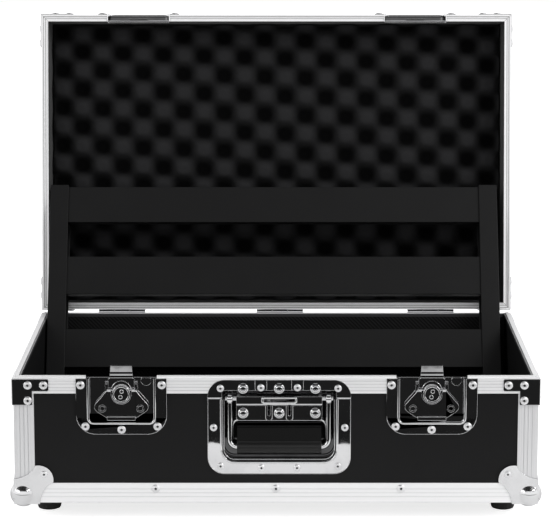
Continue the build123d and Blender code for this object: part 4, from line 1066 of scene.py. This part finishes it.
@dataclass
class Rivets(Hardware):
    """Every rivet of the case: a domed head with a dimple where its mandrel was."""

    radius: float = 5.25
    height: float = 2.0
    hole: float = 1.6
    sides: int = 14
    # Shares of the radius and the height up the dome, then of the hole's radius and the height.
    dome: tuple[tuple[float, float], ...] = (
        (1, 0), (1, 0.2), (0.92, 0.52), (0.74, 0.78), (0.5, 0.92))
    dimple: tuple[tuple[float, float], ...] = ((1, 1), (0.95, 0.3))

    def head(self) -> Piece:
        """One rivet head on z = 0, facing +z."""
        rings = [(self.radius * wide, self.height * up) for wide, up in self.dome]
        rings += [(self.hole * wide, self.height * up) for wide, up in self.dimple]
        return turned(rings, around=self.sides)

    def build(self) -> None:
        """Set a head at every rivet of every row."""
        limit = (1.1 * self.hole * MM) ** 2 * math.pi
        for name, half in (("base_rivets", Rides.BASE), ("handle_rivets", Rides.BASE),
                           ("lid_rivets", Rides.LID)):
            places = head_places(self.nodes[name], half.matrix(), self.radius)
            heads = copies(self.head(), places)
            smooth(heads)
            settle(heads, name + "_domed", half.value, "chrome", self.finishes.steel, name)
            # Painted shade in the dimple of each head.
            dress_faces(heads, self.finishes.hole, half,
                        lambda f, centre: len(f.vertices) == self.sides and f.area < limit)


@dataclass
class Feet(Hardware):
    """Four moulded rubber feet with a flared top and a rounded bottom."""

    radius: float = 18.0
    from_side: float = 36.5
    from_front: float = 66.5
    # How much narrower than the radius the foot is, and the height over the ground, going up.
    profile: tuple[tuple[float, float], ...] = (
        (9.0, 0), (6.6, 0), (4.4, 0.8), (3.4, 2.6), (2.6, 7), (1.9, 12), (0.9, 17), (0.1, 20.5),
        (0.05, GROUND + 0.9))

    def build(self) -> None:
        """Turn one foot and copy it to the four places."""
        foot = turned([(self.radius - less, up - GROUND) for less, up in self.profile],
                      around=48)
        across, along = WIDTH / 2 - self.from_side, (self.from_front, DEPTH - self.from_front)
        feet = copies(foot, [base_matrix() @ Matrix.Translation((x, y, 0))
                             for x in (-across, across) for y in along])
        smooth(feet)
        settle(feet, "moulded_feet", "base", "foot_rubber", self.finishes.foot, "base_feet")


@dataclass
class Latch(Hardware):
    """One butterfly latch: its two dishes with their beads, and the rotor, wing and hook plate."""

    side: Side
    # Beads round the cup: how far inside its wall, their plane and their radius.
    outer_bead: tuple[float, float, float] = (1.4, RIM_FACE + 1.5, 1.7)
    inner_bead: tuple[float, float, float] = (2.4, CUP_FLOOR, 0.4)
    mouth_gap: float = 0.6
    lid_cup: float = 29.0
    # Edge of the lid's cup in the plane of the rim: how far below the rim, radius and corners.
    lip: tuple[float, float, float] = (0.95, 0.9, 3.0)
    lip_past: float = 3.0
    # Fine edge of the dish's plate: half its width, its low edge, its radius and its corners.
    plate_edge: tuple[float, float, float, float] = (55.5, 87.3, 0.25, 23.5)
    # The step of the base dish's flange, drawn out to a slope.
    step_z: float = 133.7
    step_reach: float = 1.6
    step_depth: float = 2.0
    step_up: float = 4.0
    step_down: float = 24.5
    # The hook plate leans out from its foot, with waves pressed across it.
    hook_foot: float = BASE_HEIGHT - 1
    tilt: float = 0.09
    wave: float = 0.06
    wave_pitch: float = 4.6
    cuts: int = 14
    cut_pitch: float = 0.75
    # The wing's raised rings: place across and up, outer radius, and the y that they stand out of.
    disc: tuple[float, float] = (23.43, 120.08)
    disc_reach: float = 5.0
    disc_face: float = -1.45
    # What is shaded in a cup: all past its outermost edge and out to its wall.  Of the base's cup,
    # only faces short of its floor whose normal has no more than a share of y; of the lid's, all
    # but its catch, given by half its width and its height.
    cup_edge: float = 0.9
    past_wall: float = 0.5
    short_of_floor: float = 0.2
    frontal: float = 0.6
    catch: tuple[float, float] = (15.0, 4.0)
    dish_edge: float = 0.4
    plate_edges: tuple[tuple[str, float], ...] = (("rotor", 0.5), ("wing", 0.45), ("hasp", 0.6))

    @property
    def x(self) -> float:
        """Middle of the latch."""
        return self.side.value * LATCH_X + LATCH_SHIFT

    def ring(self, half: Rides, line: tuple[float, float, float]) -> Piece:
        """A bead round one half of the cup, open at the rim.

        Args:
            half: The half of the case.
            line: How far inside the cup's wall it is, its plane and its radius.

        Returns:
            The bead, in its place.
        """
        inset, y, radius = line
        x_reach = (self.x - CUP_HALF + inset, self.x + CUP_HALF - inset)
        if half is Rides.BASE:
            z_reach, mouth = (CUP_LOW + inset, BASE_HEIGHT - self.mouth_gap), Mouth.TOP
        else:
            z_reach = (LID_RIM + self.mouth_gap, LID_RIM + self.lid_cup - inset)
            mouth = Mouth.BOTTOM
        wire = Bead(x_reach, z_reach, y, radius, CUP_CORNER - inset, mouth).build()
        return place(wire, half.matrix())

    def lip_bead(self) -> Piece:
        """Bright edge round the mouth of the lid's cup, in the plane of the lid's rim."""
        wide, (below, radius, corner) = CUP_HALF + self.mouth_gap, self.lip
        edge = Bead((self.x - wide, self.x + wide), (RIM_FACE, CUP_FLOOR + self.lip_past),
                    -LID_RIM - below, radius, corner, Mouth.BOTTOM).build()
        return place(edge, lid_matrix() @ Matrix.Rotation(-math.pi / 2, 4, "X"))

    def ease(self, dish: Piece) -> None:
        """Draw the step of the dish's flange out into a long slope.

        Args:
            dish: The copy of the dish.
        """
        forth = base_matrix()
        back = forth.inverted()
        for vertex in dish.data.vertices:
            point = back @ vertex.co
            if abs(point.z - self.step_z) < self.step_reach and point.y < self.step_depth:
                point.z += self.step_up if point.z > self.step_z else -self.step_down
                vertex.co = forth @ point

    def lean(self, hasp: Piece) -> None:
        """Press shallow waves across the hook plate where it stands above the rim.

        Args:
            hasp: The copy of the hook plate.
        """
        with editing(hasp):
            for step in range(self.cuts):
                height = self.hook_foot + self.cut_pitch * step
                bpy.ops.mesh.select_all(action="SELECT")
                bpy.ops.mesh.bisect(plane_co=case_point(0, 0, height), plane_no=(0, 0, 1))
        forth = base_matrix()
        back = forth.inverted()
        for vertex in hasp.data.vertices:
            point = back @ vertex.co
            above = max(0.0, point.z - self.hook_foot)
            waves = math.sin(2 * math.pi * above / self.wave_pitch)
            point.y += self.tilt * above + self.wave * waves
            vertex.co = forth @ point

    def deep(self, half: Rides, centre: Vector, normal: Vector) -> bool:
        """Whether a face is inside a cup, where little light comes.

        Args:
            half: The half of the case.
            centre: Middle of the face, in case millimetres.
            normal: The face's normal, in the frame.

        Returns:
            True for the walls of both cups and the floor of the lid's.
        """
        across = abs(centre.x - self.x)
        inside = centre.y > RIM_FACE + self.cup_edge and across < CUP_HALF + self.past_wall
        if half is Rides.BASE:
            short = centre.y < CUP_FLOOR - self.short_of_floor
            return inside and short and abs(normal.y) <= self.frontal
        return inside and not (across < self.catch[0] and centre.z < LID_RIM + self.catch[1])

    def on_disc(self, point: Vector) -> bool:
        """Whether a point of the wing is on one of its two raised rings."""
        across, up = abs(abs(point.x - self.x) - self.disc[0]), abs(point.z - self.disc[1])
        return math.hypot(across, up) < self.disc_reach and point.y < self.disc_face

    def dishes(self) -> None:
        """Dress both dishes of the latch, with their beads."""
        for half, node, reshape in ((Rides.BASE, f"latch_{self.side.word}_dish", self.ease),
                                    (Rides.LID, f"lid_{self.side.word}_catch_dish", None)):
            dish = softened(self.nodes[node], self.dish_edge, reshape=reshape)
            pressed = len(dish.data.polygons)
            outer = self.ring(half, self.outer_bead)
            inner = self.ring(half, self.inner_bead) if reshape else self.lip_bead()
            whole = join(dish, outer, inner)
            self.chromed(whole, node + "_pressed", half.value, node)
            # Painted shade on the deep faces of the dish.
            dress_faces(whole, self.finishes.shade, half,
                        lambda f, centre: f.index < pressed and self.deep(half, centre, f.normal))
        wide, low, radius, corner = self.plate_edge
        edge = Bead((self.x - wide, self.x + wide), (low, PLATE_TOP), WALL_FACE, radius, corner,
                    Mouth.TOP).build()
        self.chromed(place(edge, base_matrix()), f"latch_{self.side.word}_dish_edge", "base")

    def build(self) -> None:
        """Dress both dishes and the moving plates."""
        self.dishes()
        plates = {}
        for name, edge in self.plate_edges:
            node = f"latch_{self.side.word}_{name}"
            reshape = self.lean if name == "hasp" else None
            plates[name] = self.rounded(node, "_plated", node + "_body", edge, segments=3,
                                        reshape=reshape)
        # Painted shade on the wing's raised rings.
        dress_faces(plates["wing"], self.finishes.shade, Rides.BASE,
                    lambda f, centre: self.on_disc(centre))
        # Painted shade on the hook plate above the rim.
        dress_faces(plates["hasp"], self.finishes.hook, Rides.BASE,
                    lambda f, centre: centre.z > BASE_HEIGHT)


@dataclass
class Handle(Hardware):
    """The recessed carrying handle: pressed dish, bracket, springs, bolts, bail and grip.

    Its beads and profiles are drawn about the handle's own middle.
    """

    pocket_bead: Bead = Bead((-71.5, 71.5), (51.1, 131.0), WALL_FACE + 0.8, 1.7, 16.6, Mouth.TOP)
    inner_bead: Bead = Bead((-68.3, 68.3), (54.9, 131.0), WALL_FACE + 2.4, 0.7, 13.0, Mouth.TOP)
    floor_bead: Bead = Bead((-58.0, 58.0), (78.0, 102.5), DISH_FLOOR - 1.8, 2.8, 8.0, Mouth.BOTTOM)
    slot_bead: Bead = Bead((-20.7, 20.7), (127.7, 133.9), RIM_FACE + 0.1, 1.5, 2.2)
    plate_edge: Bead = Bead((-88.0, 88.0), (37.0, PLATE_TOP), WALL_FACE, 0.45, 20.5, Mouth.TOP)
    shaded_past: float = WALL_FACE + 2.5
    rod: Bead = Bead((-61.0, 61.0), (GRIP_Z, AXLE_Z - 4), 0.0, 3.7, 9.0, Mouth.TOP)
    # Radius and distance along the axle of each ring of an eye, from its left end.
    eye: tuple[tuple[float, float], ...] = (
        (3.1, 0), (5.6, 0), (6.3, 0.5), (6.5, 1.4), (6.5, 5.4), (6.3, 6.3), (5.6, 6.8), (3.1, 6.8))
    # Radius and height of each ring of a bolt's head, with its raised ring and its dome.
    bolt: tuple[tuple[float, float], ...] = (
        (6.5, 0), (6.5, 0.7), (6.1, 1.3), (5.2, 1.7), (5.0, 1.45), (4.7, 1.45), (4.5, 2.1),
        (3.9, 2.7), (2.9, 3.0), (2.7, 3.0))
    sheet_edge: float = 0.4
    grip_edge: float = 0.9
    socket_radius: float = 2.3
    socket_depth: float = 1.6
    wire: float = 0.72
    coil_radius: float = 3.95
    coil_pitch: float = 1.78
    coil_turns: int = 11
    coil_steps: int = 20
    coil_starts: tuple[float, float] = (-46.6, 26.8)
    facet: float = 9.5

    def build(self) -> None:
        """Make every piece of the handle."""
        self.dish()
        self.rounded("handle_bracket", "_pressed", "base", self.sheet_edge)
        self.bolts()
        self.springs()
        self.bail()
        self.grip()

    def at(self, piece: Piece) -> Piece:
        """Move a piece from the handle's own middle to its place."""
        return place(piece, base_matrix() @ Matrix.Translation((HANDLE_X, 0, 0)))

    def dish(self) -> None:
        """The dish with its rolled beads."""
        pressed = softened(self.nodes["handle_dish"], self.sheet_edge)
        flat = len(pressed.data.polygons)
        lines = (self.pocket_bead, self.inner_bead, self.floor_bead, self.slot_bead)
        whole = join(pressed, *[self.at(line.build()) for line in lines])
        self.chromed(whole, "handle_dish_pressed", "base", "handle_dish")
        # Painted shade on the dish's faces deeper than its edge.
        dress_faces(whole, self.finishes.shade, Rides.BASE,
                    lambda f, centre: f.index < flat and centre.y > self.shaded_past)
        self.chromed(self.at(self.plate_edge.build()), "handle_dish_edge", "base")

    def bolts(self) -> None:
        """Domed bolt heads with a raised ring and a hexagon socket."""
        head, radius, top = turned(self.bolt, around=36), self.bolt[0][0], self.bolt[-1][1]
        cut_away(head, primitive("cylinder", vertices=6, radius=self.socket_radius,
                                 depth=2 * self.socket_depth, location=(0, 0, top)))
        heads = copies(head, head_places(self.nodes["handle_bolts"], base_matrix(), radius))
        smooth(heads, degrees=40.0)
        self.chromed(heads, "handle_bolt_heads", "base", "handle_bolts")

    def along_axle(self, piece: Piece, start: float) -> Piece:
        """Lay a piece that stands on z = 0 along the axle, from a place to the right."""
        turn = Matrix.Rotation(math.pi / 2, 4, "Y")
        return place(piece, Matrix.Translation((start, AXLE_Y, AXLE_Z)) @ turn)

    def coil(self, start: float) -> Piece:
        """Wind a closed coil spring on the axle.

        Args:
            start: The x of its left end, from the handle's middle.

        Returns:
            The spring, in its place.
        """
        out = Matrix.Translation((self.coil_radius, 0, 0))
        coil = primitive("circle", out @ Matrix.Rotation(math.pi / 2, 4, "X"), vertices=8,
                         radius=self.wire)
        apply_modifier(coil, "SCREW", axis="Z", angle=2 * math.pi, screw_offset=self.coil_pitch,
                       iterations=self.coil_turns, steps=self.coil_steps,
                       render_steps=self.coil_steps, use_normal_calculate=True)
        with editing(coil):
            bpy.ops.mesh.select_all(action="DESELECT")
            bpy.ops.mesh.select_non_manifold()
            bpy.ops.mesh.fill_holes(sides=0)
            face_outwards()
        smooth(self.along_axle(coil, start), degrees=60.0)
        return self.at(coil)

    def springs(self) -> None:
        """Two coil springs wound on the axle."""
        coils = join(*[self.coil(start) for start in self.coil_starts])
        self.chromed(coils, "handle_coil_springs", "base", "handle_springs")

    def bail(self) -> None:
        """Round bent rod with an eye at each end of the axle."""
        rod = self.rod.build()
        with editing(rod):
            bpy.ops.mesh.bisect(plane_co=(0, 0, 0), plane_no=(0, 0, 1))
        lean = (AXLE_Y - GRIP_Y) / (AXLE_Z - GRIP_Z)
        for vertex in rod.data.vertices:
            vertex.co.y += GRIP_Y + lean * (vertex.co.z - GRIP_Z)
        half = self.eye[-1][1] / 2
        eyes = [self.along_axle(turned(self.eye, around=40), x - half)
                for x in self.rod.x_reach]
        self.chromed(self.at(join(rod, *eyes)), "handle_bail_rod", "handle", "handle_bail")

    def grip(self) -> None:
        """Moulded grip: a satin roll under a glossy facet, both with rounded edges."""
        grip = softened(self.nodes["handle_grip"], self.grip_edge, segments=3)
        settle(grip, "handle_grip_moulded", "handle", "grip_rubber", self.finishes.rubber,
               "handle_grip")
        dress_faces(grip, self.finishes.gloss, Rides.BASE,
                    lambda f, centre: centre.z > GRIP_Z + self.facet)


@dataclass
class Sheetwork(Hardware):
    """Bent and cast metal that only needs its edges rounded: hinges and the pedalboard."""

    leaf_edge: float = 0.3
    board_edge: float = 0.8

    def build(self) -> None:
        """Round the edges of every such node."""
        for body in ("base", "lid"):
            self.rounded(f"hinge_{body}_leaves", "_pressed", body, self.leaf_edge)
        for part in ("left_rail", "right_rail", "upper_slat", "middle_slat", "lower_slat",
                     "front_bar"):
            name = "board_" + part
            settle(softened(self.nodes[name], self.board_edge, segments=3), name + "_folded",
                   "board", "board", self.finishes.coat, name)


@dataclass
class EggCrateFoam:
    """Foam block in the lid, cut to an egg-crate face of rounded peaks and deep hollows."""

    finish: Material
    pitch_x: float = 57.0
    pitch_y: float = 53.0
    shift_x: float = -16.4
    shift_y: float = 13.0
    slope: float = 0.034
    low: float = 0.12
    high: float = 0.9
    step: float = 2.8
    depth: float = 21.0
    web: float = 4.5
    side_inset: float = 10.6
    rim_inset: float = 11.0
    hinge_inset: float = 10.0
    ceiling_gap: float = 0.2
    ruffle: float = 1.4
    ruffle_reach: float = 9.0
    # Tone of the foam's back, painted shade that also darkens its cut sides.
    back_height: float = 0.3

    def rise(self, x: float, y: float) -> float:
        """Shape of the face.

        Args:
            x: Place across the foam, in millimetres.
            y: Place along it.

        Returns:
            Height from 0 in a hollow to 1 on a peak.
        """
        u = 2 * math.pi * (x - self.shift_x) / self.pitch_x
        v = 2 * math.pi * (y - self.shift_y - self.slope * x) / self.pitch_y
        wave = 0.5 + 0.5 * math.cos(u) * math.cos(v)
        part = min(max((wave - self.low) / (self.high - self.low), 0.0), 1.0)
        return part * part * (3 - 2 * part)

    def swell(self, rise: float, from_edge: float) -> float:
        """How far the cut edge is drawn in beside a hollow.

        Args:
            rise: Height of the face there, from 0 to 1.
            from_edge: Distance from the edge, in millimetres.

        Returns:
            The shift outwards in millimetres, 0 or less.
        """
        near = max(0.0, 1 - from_edge / self.ruffle_reach)
        return self.ruffle * (rise - 1) * near

    def build(self) -> None:
        """Model the foam from a fine grid, closed down to its back."""
        wide = WIDTH - 2 * self.side_inset
        deep = DEPTH - self.rim_inset - self.hinge_inset
        middle = (DEPTH + self.rim_inset - self.hinge_inset) / 2
        foam = primitive("grid", Matrix.Diagonal((wide, deep, 1, 1)), size=1,
                         x_subdivisions=round(wide / self.step),
                         y_subdivisions=round(deep / self.step))
        with editing(foam):
            bpy.ops.mesh.extrude_region_move(TRANSFORM_OT_translate={"value": (0, 0, 1)})
        hollow_shade = foam.data.attributes.new("height", "FLOAT", "POINT")
        for vertex in foam.data.vertices:
            x, y = vertex.co.x, vertex.co.y
            rise = self.rise(x, y)
            on_face = vertex.co.z > 0.5
            # The height layer only colours the foam, as painted shade.
            hollow_shade.data[vertex.index].value = rise if on_face else self.back_height
            drop = self.web + (self.depth - self.web) * rise if on_face else 0.0
            x += sign(x) * self.swell(rise, wide / 2 - abs(x))
            y += sign(y) * self.swell(rise, deep / 2 - abs(y))
            vertex.co = (x, y + middle, LID_CEILING - self.ceiling_gap - drop)
        with editing(foam):
            face_outwards()
        smooth(foam, degrees=60.0)
        settle(place(foam, lid_matrix()), "egg_crate_foam", "lid", "foam", self.finish)
        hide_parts("lid_foam")


@dataclass
class Studio:
    """Pale floor, soft light and the camera."""

    eye: Point = (0.0035, -3.318846, 0.88138)
    pitch: float = 0.1796
    yaw: float = -0.00033
    lens: float = 164.476
    sensor: float = 36.0
    floor: Level = (8.0, -8.0, 8.0, 0.0)
    floor_card: Level = (2.2, -6.0, case_point(0, -383.0, 0).y, 0.002)
    floor_card_grey: float = 0.013
    ceiling_card: Level = (3.4, -3.2, 0.8, 1.75)
    ceiling_card_grey: float = 0.03
    world_level: float = 0.75
    floor_glow: tuple[tuple[str, float], ...] = (
        ("Is Camera Ray", 0.78), ("Is Glossy Ray", 0.03), ("Is Transmission Ray", 0.78))
    # Each lamp's name, place, side in metres and power in watts.
    lamps: tuple[tuple[str, Point, float, float], ...] = (
        ("key", (1.9, -1.6, 2.1), 1.4, 38.0), ("fill", (-2.2, -1.8, 1.8), 1.8, 14.0))
    lamp_target: Point = (0.0, 0.0, 0.25)

    def build(self) -> None:
        """Make everything that isn't part of the object."""
        self.white_floor()
        self.card("floor_card", self.floor_card, self.floor_card_grey)
        self.card("ceiling_card", self.ceiling_card, self.ceiling_card_grey)
        self.world()
        for lamp in self.lamps:
            self.lamp(*lamp)
        self.camera()
        bpy.context.scene.view_settings.view_transform = "Standard"

    def plane(self, name: str, level: Level, material: Material) -> Piece:
        """A level stage surface.

        Args:
            name: Its name.
            level: Its extent and its height.
            material: Its finish.

        Returns:
            The surface.
        """
        side, front, rear, up = level
        mesh = bpy.data.meshes.new(name)
        mesh.from_pydata([(-side, front, up), (side, front, up), (side, rear, up),
                          (-side, rear, up)], [], [(0, 1, 2, 3)])
        plane = added(name, mesh)
        dress(plane, material)
        return plane

    def white_floor(self) -> None:
        """White floor that keeps a faint shadow."""
        material = bpy.data.materials.new("floor_white")
        material.use_nodes = True
        material.node_tree.nodes.clear()
        s = Sketch(material.node_tree)
        path = s.node("LightPath").outputs
        glow: object = 0.0
        for ray, share in self.floor_glow:
            glow = s.math("MULTIPLY_ADD", path[ray], share, glow)
        diffuse = s.node("BsdfDiffuse", Color=(*grey(0.8), 1))
        both = s.node("AddShader")
        s.feed(both.inputs[0], diffuse.outputs[0])
        s.feed(both.inputs[1], s.node("Emission", Strength=glow).outputs[0])
        s.node("OutputMaterial", Surface=both.outputs[0])
        self.plane("floor", self.floor, material)

    def card(self, name: str, level: Level, shade: float) -> None:
        """Add a level black card, which only shows in what is polished.

        Args:
            name: Its name.
            level: Its extent and its height.
            shade: Its grey.
        """
        s = NodeSketch(name + "_black")
        s.fill(s.shader, Base_Color=(*grey(shade), 1), Roughness=0.9, Specular_IOR_Level=0.0)
        plane = self.plane(name, level, s.material)
        plane.visible_camera = False
        plane.visible_diffuse = False
        plane.visible_shadow = False
        plane.visible_transmission = False

    def world(self) -> None:
        """White surroundings: plain level on the object, white behind it."""
        world = bpy.data.worlds.new("studio")
        bpy.context.scene.world = world
        world.use_nodes = True
        s = Sketch(world.node_tree)
        path = s.node("LightPath").outputs
        seen = path["Is Camera Ray"]
        for ray in ("Is Glossy Ray", "Is Transmission Ray"):
            seen = s.math("MAXIMUM", seen, path[ray])
        level = s.node("MapRange", Value=seen, To_Min=self.world_level, To_Max=1.0)
        s.fill(world.node_tree.nodes["Background"], Color=(1, 1, 1, 1), Strength=level.outputs[0])

    def lamp(self, name: str, spot: Point, size: float, power: float) -> None:
        """A square soft lamp aimed at the case.

        Args:
            name: Its name.
            spot: Where it is, in metres.
            size: Length of its side, in metres.
            power: Its power, in watts.
        """
        data = bpy.data.lights.new(name, "AREA")
        data.size = size
        data.energy = power
        lamp = added(name, data)
        lamp.location = spot
        aim = Vector(self.lamp_target) - Vector(spot)
        lamp.rotation_euler = aim.to_track_quat("-Z", "Y").to_euler()

    def camera(self) -> None:
        """Camera at the height of a table, looking slightly down."""
        data = bpy.data.cameras.new("camera")
        data.lens = self.lens
        data.sensor_width = self.sensor
        camera = added("camera", data)
        camera.location = self.eye
        camera.rotation_euler = (math.pi / 2 - self.pitch, 0, -self.yaw)
        bpy.context.scene.camera = camera


def main() -> None:
    """Build the looks round the frame."""
    logging.basicConfig(level=logging.INFO, format="%(name)s %(message)s")
    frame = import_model()
    finishes = Finishes()
    nodes = frame["nodes"]
    for name, node in nodes.items():
        dress(node, finishes.of_node(name))
    CornerHardware(nodes, finishes).build()
    Rivets(nodes, finishes).build()
    Feet(nodes, finishes).build()
    for side in Side:
        Latch(nodes, finishes, side).build()
    Handle(nodes, finishes).build()
    Sheetwork(nodes, finishes).build()
    EggCrateFoam(finishes.foam).build()
    Studio().build()
    bpy.context.view_layer.update()


if __name__ == "__main__":
    main()
